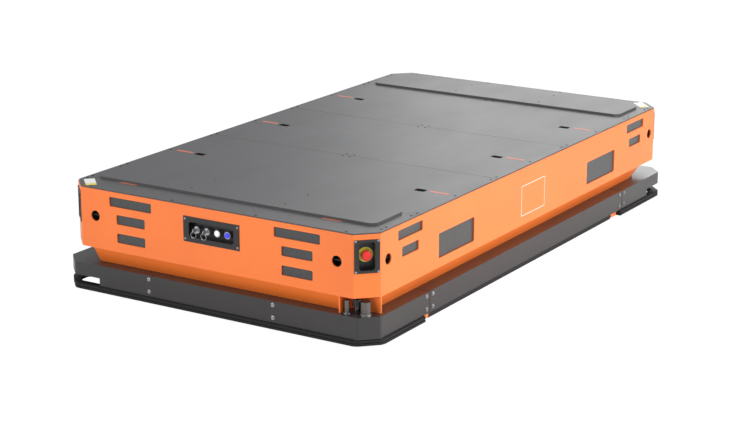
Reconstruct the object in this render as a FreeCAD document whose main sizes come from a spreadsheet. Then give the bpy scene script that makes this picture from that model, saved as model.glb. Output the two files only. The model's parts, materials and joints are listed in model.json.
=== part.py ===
import FreeCAD, Part
import os
import Sketcher
from FreeCAD import Placement, Rotation, Vector

"""Low platform robot on four roller wheels, in millimetres.

Z is up from the floor and the origin is on the floor under the middle. The front, -Y, is
the end with the control panel. Left is -X and right is +X, as seen by someone who stands
before the front and looks at the panel.
"""

doc = FreeCAD.newDocument("platform_robot")

DIMENSIONS = {
    # outer shell and deck
    "shell_length": 2600,
    "shell_width": 1456,
    "corner_cut": 75,
    "shell_bottom": 203,
    "shell_top": 450,
    "shell_wall": 6,
    "corner_return": 14,
    "bend_radius": 8,
    "deck_plate": 5,
    "deck_inset": 3,
    "deck_gap": 2,
    "cover_end": 1173,
    "cover_start": 954,
    "cover_half_width": 667,
    "cover_rise": 10,
    "cover_corner": 20,
    "middle_half_length": 315,
    # windows and panels in the shell
    "end_window_middle": 400,
    "end_window_half": 105.5,
    "end_slot_half": 71.5,
    "side_window_middle": 1011,
    "side_window_half": 90,
    "side_slot_half": 61,
    "window_height": 40,
    "window_corner": 4,
    "window_top_row": 409,
    "window_middle_row": 338,
    "window_low_row": 261,
    "panel_sheet": 3,
    "panel_overlap": 8,
    "service_middle": 653.5,
    "service_half": 141.5,
    "service_height": 102,
    "service_row": 291,
    "tie_x": 580,
    "tie_y": 1172,
    "tie_row": 338,
    "tie_radius": 22,
    "tie_depth": 34,
    "tie_bar_radius": 4.5,
    "tie_sheet": 3,
    "tie_bar_weld": 1,
    "fixing_half_x": 226,
    "fixing_first": 52,
    "fixing_pitch": 157,
    "fixing_radius": 5.1,
    # lift grips
    "grip_x": 549,
    "grip_y": 635,
    "grip_length": 50,
    "grip_width": 34,
    "grip_depth": 18,
    "grip_sheet": 2,
    "grip_corner": 4,
    # chassis
    "chassis_half_width": 680,
    "chassis_half_length": 1262,
    "bay_x": 594,
    "upper_bay_y": 1225,
    "lower_bay_y": 1070,
    "bay_ceiling": 4,
    "floor_bottom": 34,
    "floor_plate": 6,
    "chassis_sheet": 6,
    "web_x": 410,
    "web_sheet": 8,
    "end_cross_y": 1173,
    "web_hole_room": 5,
    "foot_width": 56,
    "cable_x": 220,
    "cable_row": 345,
    "cable_hole_radius": 45,
    "wheel_side_room": 18,
    "wheel_end_room": 15,
    # axles, wheels
    "axle_y": 760,
    "wheel_radius": 187.5,
    "wheel_x": 560,
    "wheel_half_width": 86,
    "wheel_disc": 8,
    "disc_radius": 174,
    "drum_radius": 95,
    "roller_radius": 36,
    "roller_end_radius": 22,
    "roller_half_length": 86,
    "roller_flat": 25,
    "shaft_radius": 24.95,
    "shaft_bore": 25,
    "cradle_x": 432,
    "cradle_sheet": 10,
    "cradle_bottom": 95,
    "cradle_top": 280,
    "cradle_flange": 15,
    "cradle_reach": 132,
    "rocker_gap": 12,
    "pivot_radius": 20,
    "pivot_bore": 20.05,
    "pivot_stand": 8,
    "pivot_length": 48,
    "motor_radius": 70,
    "gearbox_flange_radius": 95,
    "gearbox_flange": 12,
    "gearbox_length": 90,
    "rotor_case_radius": 62,
    "motor_length": 140,
    "brake_radius": 55,
    "brake_length": 40,
    "shaft_seat": 30,
    # bumper ring, strips and skirts
    "bumper_out": 20,
    "bumper_top": 137,
    "bumper_bottom": 50,
    "bumper_sheet": 8,
    "bumper_flange": 6,
    "bumper_cut": 65,
    "bumper_round": 20,
    "front_seam": 896,
    "rear_seam": 850,
    "seam_gap": 3,
    "slot_reach": 193,
    "slot_top": 82,
    "strip_out": 27,
    "strip_depth": 30,
    "strip_bottom": 25,
    "strip_cut": 78,
    "strip_round": 45,
    "strip_groove": 4,
    "strip_groove_height": 3,
    "strip_rib": 9,
    "front_strip_end": 938,
    "rear_strip_end": 825,
    "skirt_x": 725,
    "skirt_sheet": 6,
    "skirt_bottom": 20,
    "skirt_gap": 2,
    "bolt_x": 300,
    "bolt_high": 122,
    "bolt_low": 70.5,
    "bolt_circle": 8,
    "bolt_head": 4,
    "seam_bolt": 24,
    # emergency stops
    "stop_row": 365,
    "stop_plate_width": 98,
    "stop_plate_height": 130,
    "fitting_plate": 3,
    "stop_recess_width": 62,
    "stop_recess_height": 110,
    "stop_depth": 30,
    "stop_collar_radius": 29,
    "stop_head_radius": 20,
    "stop_stem_radius": 11,
    "stop_bore": 11.05,
    "stop_stem_seat": 22,
    "stop_sunk": 4,
    "stop_head_height": 12,
    "stop_head_ease": 3,
    "stop_block": 18,
    "stop_block_length": 42,
    "stop_collar": 3,
    "stop_collar_gap": 2,
    "stop_overtravel": 7,
    # control panel
    "panel_row": 356.5,
    "panel_half_width": 134,
    "panel_height": 103,
    "recess_half_width": 108,
    "recess_height": 62,
    "recess_depth": 30,
    "tray_sheet": 2,
    "device_pitch": 49,
    "device_radius": 14,
    "device_bore": 11.1,
    "device_wall": 1,
    "device_length": 42,
    "button_radius": 11,
    "button_seat": 30,
    "button_stand": 4,
    "button_ease": 1.5,
    "bezel_depth": 40,
    "device_reach": 26,
    "plug_radius": 5.95,
    "plug_bore": 6,
    "plug_length": 20,
    "lock_depth": 24,
    "blade_seat": 18,
    "blade_half": 4,
    "key_bow": 12,
    "key_sheet": 2.5,
    "key_hole": 3,
    "key_out": 22,
    "ring_radius": 13,
    "ring_wire": 1.2,
    "ring_band": 1.6,
    "ring_play": 0.3,
    # scanners
    "scanner_x": 648,
    "scanner_y": 1264,
    "scanner_radius": 18,
    "scanner_waist": 14,
    "scanner_base": 4,
    "scanner_band": 26,
    "post_x": 688,
    "post_y": 1268,
    "post_radius": 18,
    "post_flange_radius": 22,
    "post_height": 52,
    "thin_post_x": 616,
    "thin_post_y": 1284,
    "thin_post_radius": 11,
    "thin_flange_radius": 16,
    "low_scanner_x": 674,
    "low_scanner_y": 1246,
    "low_scanner_radius": 36,
    "low_scanner_waist": 30,
    "low_scanner_case": 42,
    "low_scanner_lens": 22,
    "low_scanner_cap": 8,
    # inside units
    "module_height": 210,
    "module_length": 200,
    "module_gap": 5,
    "cabinet_margin": 20,
    "cabinet_lid": 15,
    "cabinet_room": 45,
}

sheet = doc.addObject("Spreadsheet::Sheet", "Dimensions")
for row, (alias, number) in enumerate(DIMENSIONS.items(), start=1):
    sheet.set(f"A{row}", alias)
    sheet.set(f"B{row}", str(number))
    sheet.setAlias(f"B{row}", alias)
doc.recompute()


class Size:
    """A length worked out from the sheet: its number and the expression that gives it."""

    def __init__(self, number, text):
        self.number = number
        self.text = text

    def __add__(self, other):
        other = as_size(other)
        return Size(self.number + other.number, f"({self.text} + {other.text})")

    def __sub__(self, other):
        other = as_size(other)
        return Size(self.number - other.number, f"({self.text} - {other.text})")

    def __mul__(self, other):
        other = as_size(other)
        return Size(self.number * other.number, f"({self.text} * {other.text})")

    def __truediv__(self, other):
        other = as_size(other)
        return Size(self.number / other.number, f"({self.text} / {other.text})")

    def __rsub__(self, other):
        return as_size(other) - self

    def __neg__(self):
        return as_size(0) - self

    __radd__ = __add__
    __rmul__ = __mul__


def as_size(value):
    return value if isinstance(value, Size) else Size(float(value), repr(float(value)))


class Sizes:
    """Every cell of the sheet as a Size, by its alias."""

    def __getattr__(self, alias):
        return Size(float(DIMENSIONS[alias]), f"Dimensions.{alias}")


D = Sizes()
NODES = []


# ---------------------------------------------------------------- modelling helpers


def bind(item, path, size):
    item.setExpression(path, as_size(size).text)


def place(item, at, rotation=None):
    """Binds the three coordinates of an item's place, after turning it."""
    if rotation is not None:
        item.Placement = Placement(Vector(), rotation)
    for axis, size in zip("xyz", at):
        bind(item, f"Placement.Base.{axis}", size)


def box(name, x, y, z):
    item = doc.addObject("Part::Box", name)
    for side, (low, high) in zip(("Length", "Width", "Height"), (x, y, z)):
        bind(item, side, as_size(high) - low)
    place(item, (x[0], y[0], z[0]))
    return item


ALONG = {
    "x": Rotation(Vector(0, 1, 0), 90),
    "y": Rotation(Vector(1, 0, 0), -90),
    "z": Rotation(),
}


def cylinder(name, radius, length, at, along="z"):
    item = doc.addObject("Part::Cylinder", name)
    bind(item, "Radius", radius)
    bind(item, "Height", length)
    place(item, at, ALONG[along])
    return item


def eased_box(name, x, y, z, along, size):
    """A box whose four edges along one axis are cut back."""
    core = box(name + "_core", x, y, z)
    doc.recompute([core])
    direction = {"x": Vector(1, 0, 0), "y": Vector(0, 1, 0), "z": Vector(0, 0, 1)}[along]
    edges = []
    for number, edge in enumerate(core.Shape.Edges, start=1):
        if abs(edge.tangentAt(edge.FirstParameter).dot(direction)) > 0.9:
            edges.append((number, size.number, size.number))
    item = doc.addObject("Part::Chamfer", name)
    item.Base = core
    item.Edges = edges
    return item


def fuse(name, items):
    item = doc.addObject("Part::MultiFuse", name)
    item.Shapes = list(items)
    item.Refine = True
    return item


def group(name, items):
    item = doc.addObject("Part::Compound", name)
    item.Links = list(items)
    return item


def cut(name, base, tools):
    item = doc.addObject("Part::Cut", name)
    item.Base = base
    item.Tool = tools[0] if len(tools) == 1 else group(name + "_tools", tools)
    item.Refine = True
    return item


def common(name, base, tool):
    item = doc.addObject("Part::Common", name)
    item.Base = base
    item.Tool = tool
    return item


def node(label, item):
    item.Label = label
    NODES.append(item)
    return item


def origin_plane(body, role):
    return next(item for item in body.Origin.OriginFeatures if item.Role == role)


def sketch_on(body, name, role, offset):
    sketch = body.newObject("Sketcher::SketchObject", name)
    sketch.AttachmentSupport = [(origin_plane(body, role), "")]
    sketch.MapMode = "FlatFace"
    bind(sketch, "AttachmentOffset.Base.z", offset)
    return sketch


def add_outline(sketch, points):
    """Adds a closed outline whose corners are held by bound distances from the origin."""
    first = sketch.GeometryCount
    count = len(points)
    corners = [Vector(as_size(u).number, as_size(v).number, 0) for u, v in points]
    for index in range(count):
        line = Part.LineSegment(corners[index], corners[(index + 1) % count])
        sketch.addGeometry(line, False)
    for index in range(count):
        here, after = first + index, first + (index + 1) % count
        sketch.addConstraint(Sketcher.Constraint("Coincident", here, 2, after, 1))
        for kind, axis, size in zip(("DistanceX", "DistanceY"), "uv", points[index]):
            size = as_size(size)
            if size.number == 0:
                line = -2 if axis == "u" else -1
                held = Sketcher.Constraint("PointOnObject", here, 1, line)
                sketch.addConstraint(held)
                continue
            held = Sketcher.Constraint(kind, -1, 1, here, 1, size.number)
            label = f"{axis}{here}"
            sketch.renameConstraint(sketch.addConstraint(held), label)
            bind(sketch, f"Constraints.{label}", size)


def new_body(name):
    return doc.addObject("PartDesign::Body", name)


def pad(body, name, outlines, low, high, role="XY_Plane"):
    """Pads one or more nested outlines from one height to another."""
    sketch = sketch_on(body, name + "_sketch", role, low)
    for points in outlines:
        add_outline(sketch, points)
    feature = body.newObject("PartDesign::Pad", name)
    feature.Profile = sketch
    bind(feature, "Length", as_size(high) - low)
    doc.recompute()
    return feature


def pocket(body, name, outlines, low, high, role="XY_Plane"):
    """Cuts one or more nested outlines between two heights, from the lower one up."""
    before = body.Shape.Volume
    sketch = sketch_on(body, name + "_sketch", role, low)
    for points in outlines:
        add_outline(sketch, points)
    feature = body.newObject("PartDesign::Pocket", name)
    feature.Profile = sketch
    feature.Reversed = True
    bind(feature, "Length", as_size(high) - low)
    doc.recompute()
    if body.Shape.Volume >= before:
        raise RuntimeError(name + " cuts nothing")
    return feature


def round_uprights(body, name, radius, wanted):
    """Rounds the upright edges of the last feature whose plan position is wanted."""
    base = body.Tip
    edges = []
    for number, edge in enumerate(base.Shape.Edges, start=1):
        ends = [vertex.Point for vertex in edge.Vertexes]
        if len(ends) == 2 and (ends[0] - ends[1]).cross(Vector(0, 0, 1)).Length < 1e-6:
            if wanted(ends[0].x, ends[0].y):
                edges.append(f"Edge{number}")
    feature = body.newObject("PartDesign::Fillet", name)
    feature.Base = (base, edges)
    bind(feature, "Radius", radius)
    doc.recompute()
    return feature


def revolved(name, points):
    """A body turned about Z from a half outline in the XZ plane."""
    body = new_body(name)
    sketch = sketch_on(body, name + "_sketch", "XZ_Plane", 0)
    add_outline(sketch, points)
    feature = body.newObject("PartDesign::Revolution", name + "_turn")
    feature.Profile = sketch
    feature.ReferenceAxis = (sketch, ["V_Axis"])
    feature.Angle = 360
    doc.recompute()
    return body


def octagon(half_x, half_y, cut_x, cut_y):
    """A rectangle about the origin with its corners cut off, as outline points."""
    inner_x = half_x - cut_x
    inner_y = half_y - cut_y
    return [
        (-half_x, -inner_y),
        (-inner_x, -half_y),
        (inner_x, -half_y),
        (half_x, -inner_y),
        (half_x, inner_y),
        (inner_x, half_y),
        (-inner_x, half_y),
        (-half_x, inner_y),
    ]


def rectangle(x, y):
    return [(x[0], y[0]), (x[1], y[0]), (x[1], y[1]), (x[0], y[1])]


def signed_span(sign, low, high):
    """A span from low to high on one side of the middle, in rising order."""
    return (low, high) if sign > 0 else (-as_size(high), -as_size(low))


HALF_X = D.shell_width / 2
HALF_Y = D.shell_length / 2
DECK_TOP = D.shell_top + D.deck_plate
SIDES = (("left", -1), ("right", 1))
ENDS = (("front", -1), ("rear", 1))
CORNERS = [(f"{end}_{side}", sx, sy) for end, sy in ENDS for side, sx in SIDES]
FOLD = 2 - 2 ** 0.5
UPPER_BAYS = ((1, -1), (-1, 1))
LOWER_BAYS = ((-1, -1), (1, 1))


def bay_y(sx, sy):
    """How far along the robot the bay in one corner starts."""
    return D.upper_bay_y if (sx, sy) in UPPER_BAYS else D.lower_bay_y


# ---------------------------------------------------------------- shell and its windows


def row_span(middle, height):
    return (middle - height / 2, middle + height / 2)


def end_windows():
    """The (name, x span, z span) of every window in one end face."""
    rows = (
        (D.end_window_half, D.window_top_row),
        (D.end_slot_half, D.window_middle_row),
        (D.end_slot_half, D.window_low_row),
    )
    spans = []
    for side, sx in SIDES:
        for number, (half, row) in enumerate(rows):
            x = signed_span(sx, D.end_window_middle - half, D.end_window_middle + half)
            spans.append((f"{side}{number}", x, row_span(row, D.window_height)))
    return spans


def side_windows():
    """The (name, y span, z span) of every window in one long side."""
    rows = (
        (D.side_window_half, D.window_top_row),
        (D.side_slot_half, D.window_middle_row),
    )
    middle = D.side_window_middle
    spans = []
    for end, sy in ENDS:
        for number, (half, row) in enumerate(rows):
            y = signed_span(sy, middle - half, middle + half)
            spans.append((f"{end}{number}", y, row_span(row, D.window_height)))
    return spans


def service_openings():
    spans = []
    for end, sy in ENDS:
        low = D.service_middle - D.service_half
        y = signed_span(sy, low, D.service_middle + D.service_half)
        spans.append((end, y, row_span(D.service_row, D.service_height)))
    return spans


def wall_tools():
    """The cutters for every window, panel opening and tie-down hole in the shell."""
    tools = []
    reach = 2 * D.shell_wall
    for end, sy in ENDS:
        y = signed_span(sy, HALF_Y - reach, HALF_Y + reach)
        for name, x, z in end_windows():
            label = f"cutter_{end}_{name}"
            tools.append(eased_box(label, x, y, z, "y", D.window_corner))
        for side, sx in SIDES:
            at = (D.tie_x * sx, y[0], D.tie_row)
            label = f"cutter_tie_{end}_{side}"
            tools.append(cylinder(label, D.tie_radius, 2 * reach, at, "y"))
    for side, sx in SIDES:
        x = signed_span(sx, HALF_X - reach, HALF_X + reach)
        for name, y, z in side_windows() + service_openings():
            label = f"cutter_{side}_{name}"
            tools.append(eased_box(label, x, y, z, "x", D.window_corner))
        for end, sy in ENDS:
            at = (x[0], D.tie_y * sy, D.tie_row)
            label = f"cutter_tie_{side}_{end}"
            tools.append(cylinder(label, D.tie_radius, 2 * reach, at, "x"))
    panel_x = (-D.recess_half_width - D.tray_sheet, D.recess_half_width + D.tray_sheet)
    panel_z = row_span(D.panel_row, D.recess_height + 2 * D.tray_sheet)
    panel_y = (-HALF_Y - reach, -HALF_Y + reach)
    tools.append(box("cutter_panel", panel_x, panel_y, panel_z))
    for corner, sx, sy in CORNERS:
        half = D.stop_recess_width / 2 + D.tray_sheet
        z = row_span(0, D.stop_recess_height + 2 * D.tray_sheet)
        tool = box(f"cutter_stop_{corner}", (-reach, reach), (-half, half), z)
        tools.append(on_corner(group(f"cutter_stop_{corner}_turned", [tool]), sx, sy))
    return tools


CORNER_ANGLE = {(1, 1): 45, (-1, 1): 135, (-1, -1): 225, (1, -1): 315}


def on_corner(item, sx, sy):
    """Turns an item built about the origin, X outward, onto a cut corner's middle."""
    inset = D.corner_cut / 2
    at = ((HALF_X - inset) * sx, (HALF_Y - inset) * sy, D.stop_row)
    place(item, at, Rotation(Vector(0, 0, 1), CORNER_ANGLE[(sx, sy)]))
    return item


def upper_shell():
    """Four flat wall panels that butt against four folded corner posts."""
    wall = D.shell_wall
    body = new_body("shell_body")
    outer = octagon(HALF_X, HALF_Y, D.corner_cut, D.corner_cut)
    pad(body, "shell_outer", [outer], D.shell_bottom, D.shell_top)
    inner_cut = D.corner_cut - wall * FOLD
    inner = octagon(HALF_X - wall, HALF_Y - wall, inner_cut, inner_cut)
    pocket(body, "shell_inside", [inner], D.shell_bottom, D.shell_top)
    edge_x = HALF_X.number - D.corner_cut.number - 1
    edge_y = HALF_Y.number - D.corner_cut.number - 1
    outside = edge_x + HALF_Y.number
    round_uprights(body, "shell_bends", D.bend_radius, lambda x, y: abs(x) > edge_x
                   and abs(y) > edge_y and abs(x) + abs(y) > outside)
    ring = cut("shell_cut", body, wall_tools())
    z = (D.shell_bottom, D.shell_top)
    post_x = HALF_X - D.corner_cut - D.corner_return
    post_y = HALF_Y - D.corner_cut - D.corner_return
    panels = []
    for end, sy in ENDS:
        y = signed_span(sy, post_y, HALF_Y)
        panels.append(common(f"wall_{end}", ring, box(f"zone_{end}", (-post_x, post_x), y, z)))
    for side, sx in SIDES:
        x = signed_span(sx, post_x, HALF_X)
        panels.append(common(f"wall_{side}", ring, box(f"zone_{side}", x, (-post_y, post_y), z)))
    for corner, sx, sy in CORNERS:
        zone = box(f"zone_{corner}", signed_span(sx, post_x, HALF_X),
                   signed_span(sy, post_y, HALF_Y), z)
        panels.append(common(f"post_{corner}", ring, zone))
    node("upper_shell", group("shell_panels", panels))


def window_panels():
    margin = D.panel_overlap
    back = D.shell_wall + D.panel_sheet
    panels = []
    for end, sy in ENDS:
        y = signed_span(sy, HALF_Y - back, HALF_Y - D.shell_wall)
        for name, x, z in end_windows():
            x = (x[0] - margin, x[1] + margin)
            z = (z[0] - margin, z[1] + margin)
            panels.append(box(f"end_window_{end}_{name}", x, y, z))
    node("end_windows", group("end_window_group", panels))
    panels = []
    services = []
    for side, sx in SIDES:
        x = signed_span(sx, HALF_X - back, HALF_X - D.shell_wall)
        for name, y, z in side_windows():
            y = (y[0] - margin, y[1] + margin)
            z = (z[0] - margin, z[1] + margin)
            panels.append(box(f"side_window_{side}_{name}", x, y, z))
        for name, y, z in service_openings():
            y = (y[0] - margin, y[1] + margin)
            z = (z[0] - margin, z[1] + margin)
            services.append(box(f"service_{side}_{name}", x, y, z))
    node("side_windows", group("side_window_group", panels))
    node("service_panels", group("service_panel_group", services))


def tie_down_points():
    """Eight welded cups behind the round holes, each with a bar for a lashing hook."""
    outer = D.tie_radius + D.tie_sheet
    weld = D.tie_bar_weld
    points = []
    places = [("y", sx, sy) for sx in (-1, 1) for sy in (-1, 1)]
    places += [("x", sx, sy) for sx in (-1, 1) for sy in (-1, 1)]
    for along, sx, sy in places:
        name = f"tie_{along}_{'lr'[sx > 0]}{'fb'[sy > 0]}"
        half, sign = (HALF_Y, sy) if along == "y" else (HALF_X, sx)
        deep = D.tie_depth + D.tie_sheet
        span = signed_span(sign, half - D.shell_wall - deep, half - D.shell_wall)
        inside = signed_span(sign, half - D.shell_wall - D.tie_depth, half)
        middle = (half - D.shell_wall - D.tie_depth / 3) * sign
        if along == "y":
            at = (D.tie_x * sx, span[0], D.tie_row)
            start = (D.tie_x * sx, inside[0], D.tie_row)
            bar_at = (D.tie_x * sx - outer + weld, middle, D.tie_row)
            bar_along = "x"
        else:
            at = (span[0], D.tie_y * sy, D.tie_row)
            start = (inside[0], D.tie_y * sy, D.tie_row)
            bar_at = (middle, D.tie_y * sy - outer + weld, D.tie_row)
            bar_along = "y"
        cup = cylinder(name + "_outer", outer, deep, at, along)
        hollow = cylinder(name + "_hollow", D.tie_radius, inside[1] - inside[0], start, along)
        shell = cut(name + "_cup", cup, [hollow])
        length = 2 * (outer - weld)
        bar = cylinder(name + "_bar", D.tie_bar_radius, length, bar_at, bar_along)
        points.append(fuse(name, [shell, bar]))
    node("tie_down_points", group("tie_down_group", points))


# ---------------------------------------------------------------- deck


def deck_plates():
    half_x = HALF_X - D.deck_inset
    half_y = HALF_Y - D.deck_inset
    gap = D.deck_gap / 2
    corner = D.corner_cut
    for end, sy in ENDS:
        body = new_body(f"deck_{end}_strip_body")
        line = (D.cover_end + gap) * sy
        edge = half_y * sy
        shoulder = (half_y - corner) * sy
        points = [
            (-half_x, line),
            (-half_x, shoulder),
            (-half_x + corner, edge),
            (half_x - corner, edge),
            (half_x, shoulder),
            (half_x, line),
        ]
        pad(body, f"deck_{end}_strip_pad", [points], D.shell_top, DECK_TOP)
        node(f"deck_{end}_strip", body)
    spans = (
        ("front", -D.cover_start + gap, -D.middle_half_length - gap),
        ("middle", -D.middle_half_length + gap, D.middle_half_length - gap),
        ("rear", D.middle_half_length + gap, D.cover_start - gap),
    )
    for name, low, high in spans:
        plate = box(f"deck_{name}_sheet", (-half_x, half_x), (low, high),
                    (D.shell_top, DECK_TOP))
        row = {"front": -1, "middle": 0, "rear": 1}[name]
        holes = [grip_cutter(name, sx, row) for _, sx in SIDES]
        node(f"deck_{name}_plate", cut(f"deck_{name}_cut", plate, holes))


def grip_span(sx, row):
    x = row_span(D.grip_x * sx, D.grip_length)
    y = row_span(D.grip_y * row, D.grip_width)
    return x, y


def grip_cutter(name, sx, row):
    x, y = grip_span(sx, row)
    z = (D.shell_top - 1, DECK_TOP + 1)
    side = "left" if sx < 0 else "right"
    return eased_box(f"cutter_grip_{name}_{side}", x, y, z, "z", D.grip_corner)


def lift_grips():
    """Six pressed cups let into the plates, deep enough for the fingertips."""
    gauge = D.grip_sheet
    cups = []
    for row, end in ((-1, "front"), (0, "middle"), (1, "rear")):
        for side, sx in SIDES:
            name = f"grip_{end}_{side}"
            x, y = grip_span(sx, row)
            z = (DECK_TOP - D.grip_depth, DECK_TOP)
            outer = eased_box(name + "_outer", x, y, z, "z", D.grip_corner)
            x = (x[0] + gauge, x[1] - gauge)
            y = (y[0] + gauge, y[1] - gauge)
            z = (z[0] + gauge, DECK_TOP + 1)
            inner = eased_box(name + "_inner", x, y, z, "z", D.grip_corner - gauge * FOLD)
            cups.append(cut(name, outer, [inner]))
    node("lift_grips", group("lift_grip_group", cups))


def deck_covers():
    """The raised cover at each end, a plate with a pressed-up middle and four fixing holes."""
    half_x = HALF_X - D.deck_inset
    top = DECK_TOP + D.cover_rise
    raised = D.cover_half_width
    for end, sy in ENDS:
        low, high = signed_span(sy, D.cover_start, D.cover_end)
        body = new_body(f"deck_{end}_cover_body")
        plate = rectangle((-half_x, half_x), (low, high))
        pad(body, f"{end}_cover_plate", [plate], D.shell_top, DECK_TOP)
        c = D.cover_corner
        dome = [
            (-raised, low + c),
            (-raised + c, low),
            (raised - c, low),
            (raised, low + c),
            (raised, high - c),
            (raised - c, high),
            (-raised + c, high),
            (-raised, high - c),
        ]
        pad(body, f"{end}_cover_dome", [dome], DECK_TOP, top)
        gauge = D.deck_plate
        hollow = rectangle((-raised + c, raised - c), (low + gauge, high - gauge))
        pocket(body, f"{end}_cover_hollow", [hollow], D.shell_top, top - gauge)
        first = low + D.fixing_first
        holes = []
        for sx in (-1, 1):
            for y in (first, first + D.fixing_pitch):
                at = (D.fixing_half_x * sx, y, D.shell_top)
                name = f"fixing_{end}_{len(holes)}"
                holes.append(cylinder(name, D.fixing_radius, 2 * D.cover_rise, at))
        node(f"deck_{end}_cover", cut(f"deck_{end}_cover_cut", body, holes))


# ---------------------------------------------------------------- chassis


def floor_outline():
    """The floor's outline with its four corner bays stepped out."""
    long, wide = D.chassis_half_length, D.chassis_half_width
    points = []
    for sx, sy in ((-1, -1), (1, -1), (1, 1), (-1, 1)):
        step = [
            (wide * sx, bay_y(sx, sy) * sy),
            (D.bay_x * sx, bay_y(sx, sy) * sy),
            (D.bay_x * sx, long * sy),
        ]
        points += step if sx == sy else step[::-1]
    return points


def floor_plate():
    """The floor with its four wheel openings and the feet that hold the strips' ends."""
    body = new_body("floor_sheet")
    floor_top = D.floor_bottom + D.floor_plate
    pad(body, "floor_pad", [floor_outline()], D.floor_bottom, floor_top)
    low_x = D.chassis_half_width - D.chassis_sheet
    high_x = HALF_X + D.bumper_out / 4
    feet = []
    tools = []
    for side, sx in SIDES:
        x = signed_span(sx, low_x, high_x)
        for end, sy in ENDS:
            edge = D.front_strip_end if sy < 0 else D.rear_strip_end
            y = signed_span(sy, edge - D.foot_width, edge - 1)
            feet.append(box(f"foot_{end}_{side}", x, y, (D.strip_bottom, floor_top)))
            half = D.wheel_half_width + D.wheel_side_room
            hole_x = signed_span(sx, D.wheel_x - half, D.wheel_x + half)
            reach = D.wheel_radius + D.wheel_end_room
            hole_y = signed_span(sy, D.axle_y - reach, D.axle_y + reach)
            z = (D.floor_bottom - 1, floor_top + 1)
            tools.append(box(f"cutter_floor_{end}_{side}", hole_x, hole_y, z))
    node("floor_plate", cut("floor_cut", fuse("floor_welded", [body] + feet), tools))


def sloped_panel(name, sign, half, foot, low, high, role):
    """A flat panel that leans out from the ring's top to the shell's lower edge."""
    rise = (D.shell_bottom - D.bumper_top).number
    lean = ((half - foot).number ** 2 + rise ** 2) ** 0.5 / rise
    gauge = D.chassis_sheet * lean
    body = new_body(name)
    outline = [
        (foot * sign, D.bumper_top),
        (half * sign, D.shell_bottom),
        ((half - gauge) * sign, D.shell_bottom),
        ((foot - gauge) * sign, D.bumper_top),
    ]
    if role == "XZ_Plane":
        low, high = -as_size(high), -as_size(low)
    pad(body, name + "_pad", [outline], low, high, role)
    return body


def bay_ceiling(corner, sx, sy):
    """The plate that closes the shell above a corner bay."""
    x = HALF_X - D.shell_wall
    y = HALF_Y - D.shell_wall
    cut_back = D.corner_cut - D.shell_wall * FOLD
    start = bay_y(sx, sy)
    past_fold = start + cut_back - y
    body = new_body(f"ceiling_{corner}")
    if past_fold.number > 0:
        side = [((x - past_fold) * sx, start * sy)]
    else:
        side = [(x * sx, start * sy), (x * sx, (y - cut_back) * sy)]
    outline = [(D.bay_x * sx, start * sy)] + side
    outline += [((x - cut_back) * sx, y * sy), (D.bay_x * sx, y * sy)]
    top = D.shell_bottom + D.bay_ceiling
    pad(body, f"ceiling_{corner}_pad", [outline], D.shell_bottom, top)
    return body


def bay_walls(corner, sx, sy):
    """The two upright plates of a corner bay, low ones and the cheeks above the ring."""
    gauge = D.chassis_sheet
    start = bay_y(sx, sy)
    across = signed_span(sx, D.bay_x - gauge, D.bay_x)
    along = signed_span(sy, start - gauge, start)
    low = (D.floor_bottom + D.floor_plate, D.bumper_top)
    high = (D.bumper_top, D.shell_bottom)
    inner_y = D.chassis_half_length - gauge
    inner_x = D.chassis_half_width - gauge
    plates = [
        box(f"bay_{corner}_a", across, signed_span(sy, start - gauge, inner_y), low),
        box(f"bay_{corner}_b", signed_span(sx, D.bay_x, inner_x), along, low),
    ]
    if (sx, sy) in UPPER_BAYS:
        y = signed_span(sy, start - gauge, HALF_Y)
        plates.append(box(f"bay_{corner}_c", across, y, high))
        x = signed_span(sx, D.bay_x, HALF_X)
        plates.append(box(f"bay_{corner}_d", x, along, high))
        return plates
    slack = 2 * gauge
    for tag, role, begin, half, foot, span, sign, face in (
            ("c", "YZ_Plane", start - gauge, HALF_Y, D.chassis_half_length, across, sy, 1),
            ("d", "XZ_Plane", D.bay_x, HALF_X, D.chassis_half_width, along, sx, -1)):
        body = new_body(f"bay_{corner}_{tag}")
        outline = [
            (begin * sign, high[0]),
            ((foot - slack) * sign, high[0]),
            ((half - slack) * sign, high[1]),
            (begin * sign, high[1]),
        ]
        edges = (span[0], span[1]) if face > 0 else (-as_size(span[1]), -as_size(span[0]))
        pad(body, f"bay_{corner}_{tag}_pad", [outline], edges[0], edges[1], role)
        plates.append(body)
    return plates


def chassis_walls():
    """The tray's low walls, the sloped panels above them and the corner bays' plates."""
    gauge = D.chassis_sheet
    wide, long = D.chassis_half_width, D.chassis_half_length
    low = (D.floor_bottom + D.floor_plate, D.bumper_top)
    plates = []
    for end, sy in ENDS:
        y = signed_span(sy, long - gauge, long)
        plates.append(box(f"low_wall_{end}", (-D.bay_x, D.bay_x), y, low))
        stop = D.bay_x - gauge
        first = D.bay_x if (-1, sy) in LOWER_BAYS else stop
        last = D.bay_x if (1, sy) in LOWER_BAYS else stop
        plates.append(sloped_panel(f"sloped_{end}", sy, HALF_Y, long, -first, last, "YZ_Plane"))
    for side, sx in SIDES:
        x = signed_span(sx, wide - gauge, wide)
        first, last = bay_y(sx, -1), bay_y(sx, 1)
        plates.append(box(f"low_wall_{side}", x, (-first, last), low))
        first = first if (sx, -1) in LOWER_BAYS else first - gauge
        last = last if (sx, 1) in LOWER_BAYS else last - gauge
        plates.append(sloped_panel(f"sloped_{side}", sx, HALF_X, wide, -first, last,
                                   "XZ_Plane"))
    for corner, sx, sy in CORNERS:
        plates += bay_walls(corner, sx, sy)
        plates.append(bay_ceiling(corner, sx, sy))
    node("chassis_walls", group("chassis_wall_group", plates))


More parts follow.
